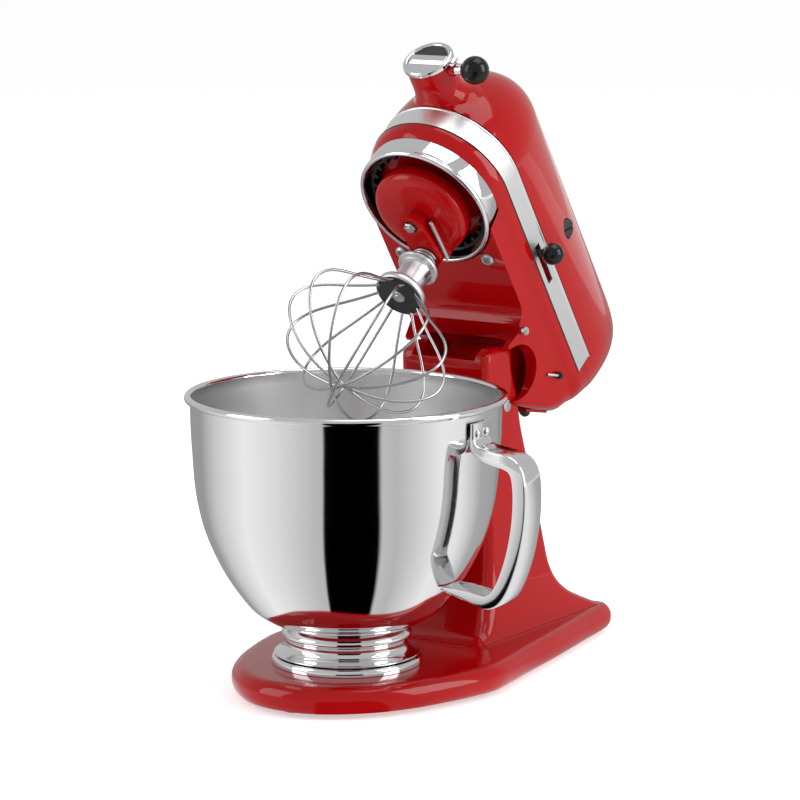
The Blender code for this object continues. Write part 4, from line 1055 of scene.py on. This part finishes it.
    def build(self) -> None:
        """Builds every piece of the head."""
        self.housing()
        self.gearcase()
        self.trim()
        self.fittings()
        self.small_parts()


# ---------------------------------------------------------------- planetary and whisk

@dataclass
class Mixing:
    """The planetary, its shaft and the whisk."""

    offset: float = 27.0
    angle: float = 84.0
    radius: float = 35.5
    wire: float = 1.0
    loops: int = 6
    whisk_top: float = 160.2
    tip: float = 61.5
    profile: tuple[Pair, ...] = (
        (15.5, 159.4), (24.0, 151.2), (34.0, 142.6), (44.5, 134.0), (53.5, 124.5), (58.6, 114.0),
        (59.2, 103.5), (55.8, 93.5), (48.6, 83.5), (38.8, 75.0), (27.0, 68.5), (14.0, 64.0),
    )

    def centre(self) -> Pair:
        """The beater shaft's place, with the head lowered."""
        turn = math.radians(self.angle)
        return (self.offset * math.cos(turn), self.offset * math.sin(turn))

    def planetary(self) -> None:
        """The red disc with its boss, its raised rib and its screw."""
        px, py = self.centre()
        face = smooth((
            (0, 211.0), (16.0, 211.2), (26.0, 211.9), (31.0, 213.1), (33.6, 214.6), (35.0, 216.6),
            (self.radius, 219.0),
        ), 5)
        back = [(self.radius, 225.4), (34.8, 226.6), (32.5, 227.2), (9.0, 227.2), (9.0, 236.0), (0, 236.0)]
        form = Form.turned(list(face) + back, 128)
        outline = []
        for centre, radius, start in (((0.0, 0.0), 9.5, self.angle + 96), ((px, py), 11.2, self.angle - 84)):
            outline += arc(centre, radius, start, start + 168, 28)
        form.combined(Form.prism(outline, 201.5, 220.0), Mode.ADD)
        turn = math.radians(self.angle)
        along, side = Vector((math.cos(turn), math.sin(turn))), Vector((math.sin(turn), -math.cos(turn)))
        corners = ((3, 12.6), (3, 15.4), (33, 13.6), (33, 10.8))
        rib = [tuple(along * out + side * off) for out, off in corners]
        form.combined(Form.prism(rib, 207.0, 217.0), Mode.ADD)
        form.combined(Form.rod(6.4, 190.0, 240.0, (px, py)))
        form.combined(Form.rod(5.4, 195.0, 203.4))
        name = "planetary"
        form.head_piece(f"{name}_enamelled", name, Finishes.ENAMEL, [name], bevel=0.9, smooth_angle=32)
        nut = Form.turned((
            (0, 198.9), (1.9, 198.9), (1.9, 199.6), (3.6, 199.6), (4.6, 200.2), (4.6, 204.3), (0, 204.3),
        ), 6)
        nut.head_piece("planetary_nut", "planetary", Finishes.STEEL, ["planetary_screw"], bevel=0.25)
        pin = ((0, 34.5), (1.0, 34.5), (1.6, 33.9), (1.6, 1.0), (1.0, 0.4), (0, 0.4))
        lay = Matrix.Translation((side.x * 14.0, side.y * 14.0, 207.6))
        lay = lay @ turn_of(self.angle - 90, "Z") @ turn_of(3.0, "Z") @ turn_of(-90, "X")
        Form.turned(pin, 24).moved(lay).head_piece("retaining_pin", "planetary", Finishes.STEEL)

    def shaft(self) -> None:
        """The beater shaft, its cross pin, its spring and the whisk's socket."""
        px, py = self.centre()
        profile = ((0, 172.0), (5.2, 172.0), (6.0, 173.0), (6.0, 237.2), (0, 237.2))
        form = Form.turned(profile, 48, centre=(px, py))
        pin = Form.rod(1.6, -9.8, 9.8, (py, 180.0), Axis.RIGHT, 24)
        form.with_form(pin.moved(Matrix.Translation((px, 0, 0))))
        form.head_piece("beater_shaft_turned", "beater", Finishes.STEEL, ["beater_shaft"])
        turns, steps, radius = 3, 120, 8.4
        coil = []
        for i in range(steps + 1):
            turn = 2 * math.pi * turns * i / steps
            spot = (px + radius * math.cos(turn), py + radius * math.sin(turn), 192.8 + 7.4 * i / steps)
            coil.append(spot)
        Form.tube(coil, 0.9, 10).head_piece("beater_spring_coil", "beater", Finishes.STEEL, ["beater_spring"])
        barrel = smooth((
            (6.3, 191.4), (13.4, 191.4), (14.9, 191.0), (15.2, 189.8), (14.8, 188.4), (12.4, 187.6),
            (11.2, 186.2), (11.0, 180.0), (11.0, 171.6), (11.8, 169.2), (14.4, 167.4), (17.4, 166.2),
            (18.4, 164.6), (18.4, 161.6), (17.6, 160.6),
        ), 3)
        form = Form.turned([(0, 170.5), (6.3, 170.5)] + list(barrel) + [(0, 160.6)], 72, centre=(px, py))
        form.combined(Form.block((px - 11.5, py - 2.0, 177.8), (px + 11.5, py + 2.0, 195.0)))
        form.head_piece("whisk_socket", "beater", Finishes.ALUMINIUM, ["whisk_ferrule"], bevel=0.25)
        disc = ((0, 159.4), (5.0, 159.2), (16.0, 159.6), (17.0, 160.1), (17.0, 160.5), (0, 160.5))
        Form.turned(disc, 64, centre=(px, py)).head_piece("whisk_disc", "beater", Finishes.DARK)
        boss = ((0, 157.6), (1.8, 157.8), (2.6, 158.5), (4.4, 158.7), (5.0, 159.3), (0, 159.6))
        Form.turned(boss, 48, centre=(px, py)).head_piece("whisk_disc_boss", "beater", Finishes.STEEL)

    def whisk(self) -> None:
        """Six wire loops that cross on the axis, each a little above the one before."""
        px, py = self.centre()
        for order in range(self.loops):
            turn = math.radians(self.angle + 15.0 + 180.0 * order / self.loops)
            lift = order * (2 * self.wire + GAP)
            height = self.whisk_top - self.tip
            half = [(r, z + lift * (self.whisk_top - z) / height) for r, z in self.profile]
            loop = half + [(0.0, self.tip + lift)] + [(-r, z) for r, z in reversed(half)]
            points = [(px + r * math.cos(turn), py + r * math.sin(turn), z) for r, z in loop]
            form = Form.tube(smooth(points, 5), self.wire, 12)
            name = f"whisk_wire_{order + 1}"
            form.head_piece(f"{name}_round", "beater", Finishes.WIRE, [name], smooth_angle=50)

    def build(self) -> None:
        """Builds the planetary and the whisk."""
        self.planetary()
        self.shaft()
        self.whisk()


# ---------------------------------------------------------------- controls

@dataclass
class Controls:
    """The hub's cover and knob, and the two levers."""

    cap_radius: float = 18.3
    knob_radius: float = 10.0
    ball_radius: float = 8.0
    lever_y: float = 67.0
    lever_height: float = 257.5

    def cover(self) -> None:
        """The flip cover: a bright rim round two recesses with a bar between them."""
        radius, height = self.cap_radius, HUB_HEIGHT
        rim = smooth((
            (14.6, 81.7), (14.8, 82.6), (15.6, 83.2), (16.6, 83.4), (17.7, 82.9), (radius, 81.8),
            (radius, 79.6),
        ), 4)
        profile = [(0, 81.6), *rim, (radius - 0.4, 79.3), (0, 79.3)]
        form = Form.turned(profile, 96, Axis.FRONT, (0, height))
        bar = Form.block((-14.8, -83.3, height - 2.8), (14.8, -81.0, height + 2.8))
        form.combined(bar, Mode.ADD)
        lug_x, lug_y = radius + 2.6, -81.4
        form.with_form(Form.block((radius - 1.4, -82.4, height - 3.2), (lug_x, -80.0, height + 3.2)))
        form.with_form(Form.rod(2.0, height - 3.4, height + 3.4, (lug_x, lug_y), steps=32))
        form.head_piece("hub_cover_bright", "hub_cover", Finishes.CHROME, ["hub_cover"], bevel=0.25)
        dish = Form.turned(((0, 81.9), (14.4, 81.9), (14.4, 81.5), (0, 81.5)), 64, Axis.FRONT, (0, height))
        dish.combined(Form.block((-20.0, -84.0, height - 20.0), (20.0, -80.0, height + 2.9)))
        dish.head_piece("hub_cover_dish", "hub_cover", Finishes.DARK)

    @staticmethod
    def ball(radius: float, centre: float, collar: Sequence[Pair]) -> list[Pair]:
        """A ball knob's profile that runs down to a collar."""
        return [(0, centre + radius)] + [
            (radius * math.cos(math.radians(a)), centre + radius * math.sin(math.radians(a)))
            for a in range(84, -57, -6)
        ] + list(collar)

    def knobs(self) -> None:
        """The three black ball knobs and what holds them."""
        at = (KNOB_Y, HUB_HEIGHT)
        ball = self.ball(self.knob_radius, 36.0, ((5.0, 27.2), (4.6, 26.6), (0, 26.6)))
        knob = Form.turned(ball, 64, Axis.RIGHT, at)
        knob.head_piece("hub_knob_ball", "hub_knob", Finishes.BLACK, ["hub_knob"])
        ridges = [(0, 27.4)]
        for ridge in range(5):
            ridges += [(radius, top - ridge * 1.2) for radius, top in ((4.3, 27.0), (4.3, 26.4), (3.7, 26.1))]
        stem = Form.turned(ridges + [(3.2, 20.9), (3.0, 13.4), (0, 13.4)], 40, Axis.RIGHT, at)
        stem.head_piece("hub_knob_stem", "hub_knob", Finishes.CHROME)
        for side, name in ((1, "speed"), (-1, "lock")):
            ball = self.ball(self.ball_radius, 65.0, ((3.9, 57.9), (3.6, 57.4), (0, 57.4)))
            y, z = self.lever_y, self.lever_height
            form = Form.turned(ball, 56, Axis.RIGHT, (y, z))
            arm = Form.block((34.0, y - 3.0, z - 1.4), (60.0, y + 3.0, z + 1.4))
            if side < 0:
                form.mirrored()
                arm.mirrored()
            form.head_piece(f"{name}_ball", f"{name}_lever", Finishes.BLACK, [f"{name}_knob"])
            arm.head_piece(f"{name}_arm", f"{name}_lever", Finishes.DARK, [f"{name}_lever"], bevel=0.5)

    def build(self) -> None:
        """Builds the controls."""
        self.cover()
        self.knobs()


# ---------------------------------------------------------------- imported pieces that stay, and the studio

@dataclass
class Kept:
    """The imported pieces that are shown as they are, with their finishes."""

    finishes: tuple[tuple[Finishes, tuple[str, ...]], ...] = (
        (Finishes.STEEL, ("clamp_plate_screw_1", "clamp_plate_screw_2", "clamp_plate_screw_3",
                          "rear_bearing", "shaft_bearing", "planetary_shaft", "centre_gear", "beater_pinion",
                          "armature_shaft", "hub_drive")),
        (Finishes.OILED, ("ring_gear",)),
        (Finishes.ENAMEL, ("vent_cover",)),
        (Finishes.IRON, ("motor_stator",)),
        (Finishes.WINDINGS, ("armature_core",)),
        (Finishes.BRONZE, ("worm_wheel",)),
        (Finishes.CARBON, ("carbon_brush_left", "carbon_brush_right")),
        (Finishes.BOARD, ("control_board",)),
        (Finishes.DARK, ("cooling_fan", "cord_gland")),
    )

    def build(self) -> None:
        """Gives each kept node its finish."""
        for finish, names in self.finishes:
            for name in names:
                node = frame["nodes"][name]
                node.data.materials.clear()
                node.data.materials.append(finish.value.material())


@dataclass
class Studio:
    """The pale floor, the soft lights, the toned ring that the bowl mirrors, and the camera."""

    camera_at: tuple[float, float, float] = (1.3076, -1.8875, 0.5924)
    aim: tuple[float, float, float] = (0.0307, 0.0200, 0.2042)
    lens: float = 153.7
    azimuth: float = 33.8
    world_glow: float = 0.55
    floor_glow: float = 0.5
    left_power: float = 22.0
    right_power: float = 34.0
    top_power: float = 14.0
    floor_half: float = 30.0
    reflector_start: float = 0.045
    reflector_end: float = 6.0
    reflector_height: float = 0.0015
    tones: tuple[Pair, ...] = (
        (0.0, 0.30), (0.14, 0.36), (0.20, 0.66), (0.29, 0.98), (0.36, 0.84), (0.44, 0.58), (0.457, 0.55),
        (0.460, 0.0), (0.565, 0.0), (0.568, 0.60), (0.60, 0.54), (0.70, 0.96), (0.75, 0.90), (0.82, 0.45),
        (1.0, 0.30),
    )
    left_turn: float = -76.0
    right_turn: float = 72.0
    side_distance: float = 2.4
    side_height: float = 1.1
    side_size: Pair = (1.3, 2.0)
    side_aim: tuple[float, float, float] = (0.0, 0.05, 0.2)
    top_at: tuple[float, float, float] = (0.5, 0.4, 2.2)
    top_size: float = 1.4

    @staticmethod
    def stage_piece(name: str, mesh: bmesh.types.BMesh, material: bpy.types.Material) -> bpy.types.Object:
        """Makes a mesh into a stage object.

        Args:
            name: its name.
            mesh: its mesh, which is freed.
            material: its material.

        Returns:
            The object.
        """
        data = bpy.data.meshes.new(name)
        mesh.to_mesh(data)
        mesh.free()
        data.materials.append(material)
        card = linked(name, data)
        return card

    def backdrop(self) -> None:
        """The floor and the world's soft light."""
        pale = Paint("pale_floor")
        grain = pale.noise(0.8, 2.0)
        pale.shade(Base_Color=pale.mix(grain, (0.88, 0.88, 0.88), (0.86, 0.86, 0.86)), Roughness=0.9)
        pale.shade(Specular_IOR_Level=0.0, Emission_Color=(1.0, 1.0, 1.0), Emission_Strength=self.floor_glow)
        mesh = bmesh.new()
        bmesh.ops.create_grid(mesh, x_segments=1, y_segments=1, size=self.floor_half)
        self.stage_piece("floor", mesh, pale.material)
        world = bpy.data.worlds.new("studio")
        world.use_nodes = True
        sky = world.node_tree.nodes["Background"].inputs
        sky["Color"].default_value = (1.0, 1.0, 1.0, 1.0)
        sky["Strength"].default_value = self.world_glow
        bpy.context.scene.world = world
        bpy.context.scene.view_settings.view_transform = "Standard"

    def reflector(self) -> None:
        """A ring of cards lying round the machine, which only its polished metal and gloss can see."""
        tones = Paint("reflector_tones")
        x, y, _ = tones.parts(tones.place())
        turn = x.maths("ARCTAN2", x, 0.0 - y) * (1.0 / (2 * math.pi)) + (0.5 - self.azimuth / 360.0)
        ramp = tones.node("ShaderNodeValToRGB", {"stops": self.tones}, {0: turn})
        tones.shade(Base_Color=(0.0, 0.0, 0.0), Specular_IOR_Level=0.0)
        tones.shade(Emission_Color=ramp, Emission_Strength=1.0)
        mesh = bmesh.new()
        ring = bmesh.ops.create_circle(mesh, cap_ends=False, segments=96, radius=self.reflector_end)["verts"]
        edges = list({edge for vert in ring for edge in vert.link_edges})
        made = bmesh.ops.extrude_edge_only(mesh, edges=edges)["geom"]
        inner = [item for item in made if isinstance(item, bmesh.types.BMVert)]
        shrink = self.reflector_start / self.reflector_end
        bmesh.ops.scale(mesh, verts=inner, vec=(shrink, shrink, 1.0))
        bmesh.ops.translate(mesh, verts=mesh.verts, vec=(0, 0, self.reflector_height))
        bmesh.ops.recalc_face_normals(mesh, faces=mesh.faces)
        card = self.stage_piece("reflector", mesh, tones.material)
        for ray in ("camera", "diffuse", "shadow", "transmission", "volume_scatter"):
            setattr(card, f"visible_{ray}", False)

    @staticmethod
    def lamp(name: str, size: Pair, power: float, at: Sequence[float]) -> bpy.types.Object:
        """A rectangular soft box that shines straight down."""
        data = bpy.data.lights.new(f"soft_{name}", "AREA")
        data.shape, data.energy = "RECTANGLE", power
        data.size, data.size_y = size
        made = linked(f"soft_{name}", data)
        made.location = at
        return made

    def lights(self) -> None:
        """Soft boxes at both sides and above."""
        for name, turn, power in (
            ("left", self.left_turn, self.left_power), ("right", self.right_turn, self.right_power)
        ):
            angle = math.radians(self.azimuth + turn)
            away = self.side_distance
            spot = (math.sin(angle) * away, -math.cos(angle) * away, self.side_height)
            box = self.lamp(name, self.side_size, power, spot)
            aim = Vector(self.side_aim) - box.location
            box.rotation_euler = aim.to_track_quat("-Z", "Y").to_euler()
        self.lamp("top", (self.top_size, self.top_size), self.top_power, self.top_at)

    def camera(self) -> None:
        """The camera at the picture's angle."""
        data = bpy.data.cameras.new("camera")
        data.lens, data.sensor_width, data.clip_end = self.lens, 36.0, 50.0
        made = linked("camera", data)
        made.location = self.camera_at
        view = Vector(self.aim) - Vector(self.camera_at)
        made.rotation_euler = view.to_track_quat("-Z", "Y").to_euler()
        bpy.context.scene.camera = made

    def build(self) -> None:
        """Sets up the studio."""
        self.camera()
        self.backdrop()
        self.reflector()
        self.lights()


def main() -> None:
    """Builds the studio, then the machine in order."""
    logging.basicConfig(level=logging.INFO, format="%(name)s: %(message)s")
    parts: Iterable[Any] = (Studio(), Stand(), Bowl(), Head(), Mixing(), Controls(), Kept())
    for part in parts:
        part.build()


if __name__ == "__main__":
    main()
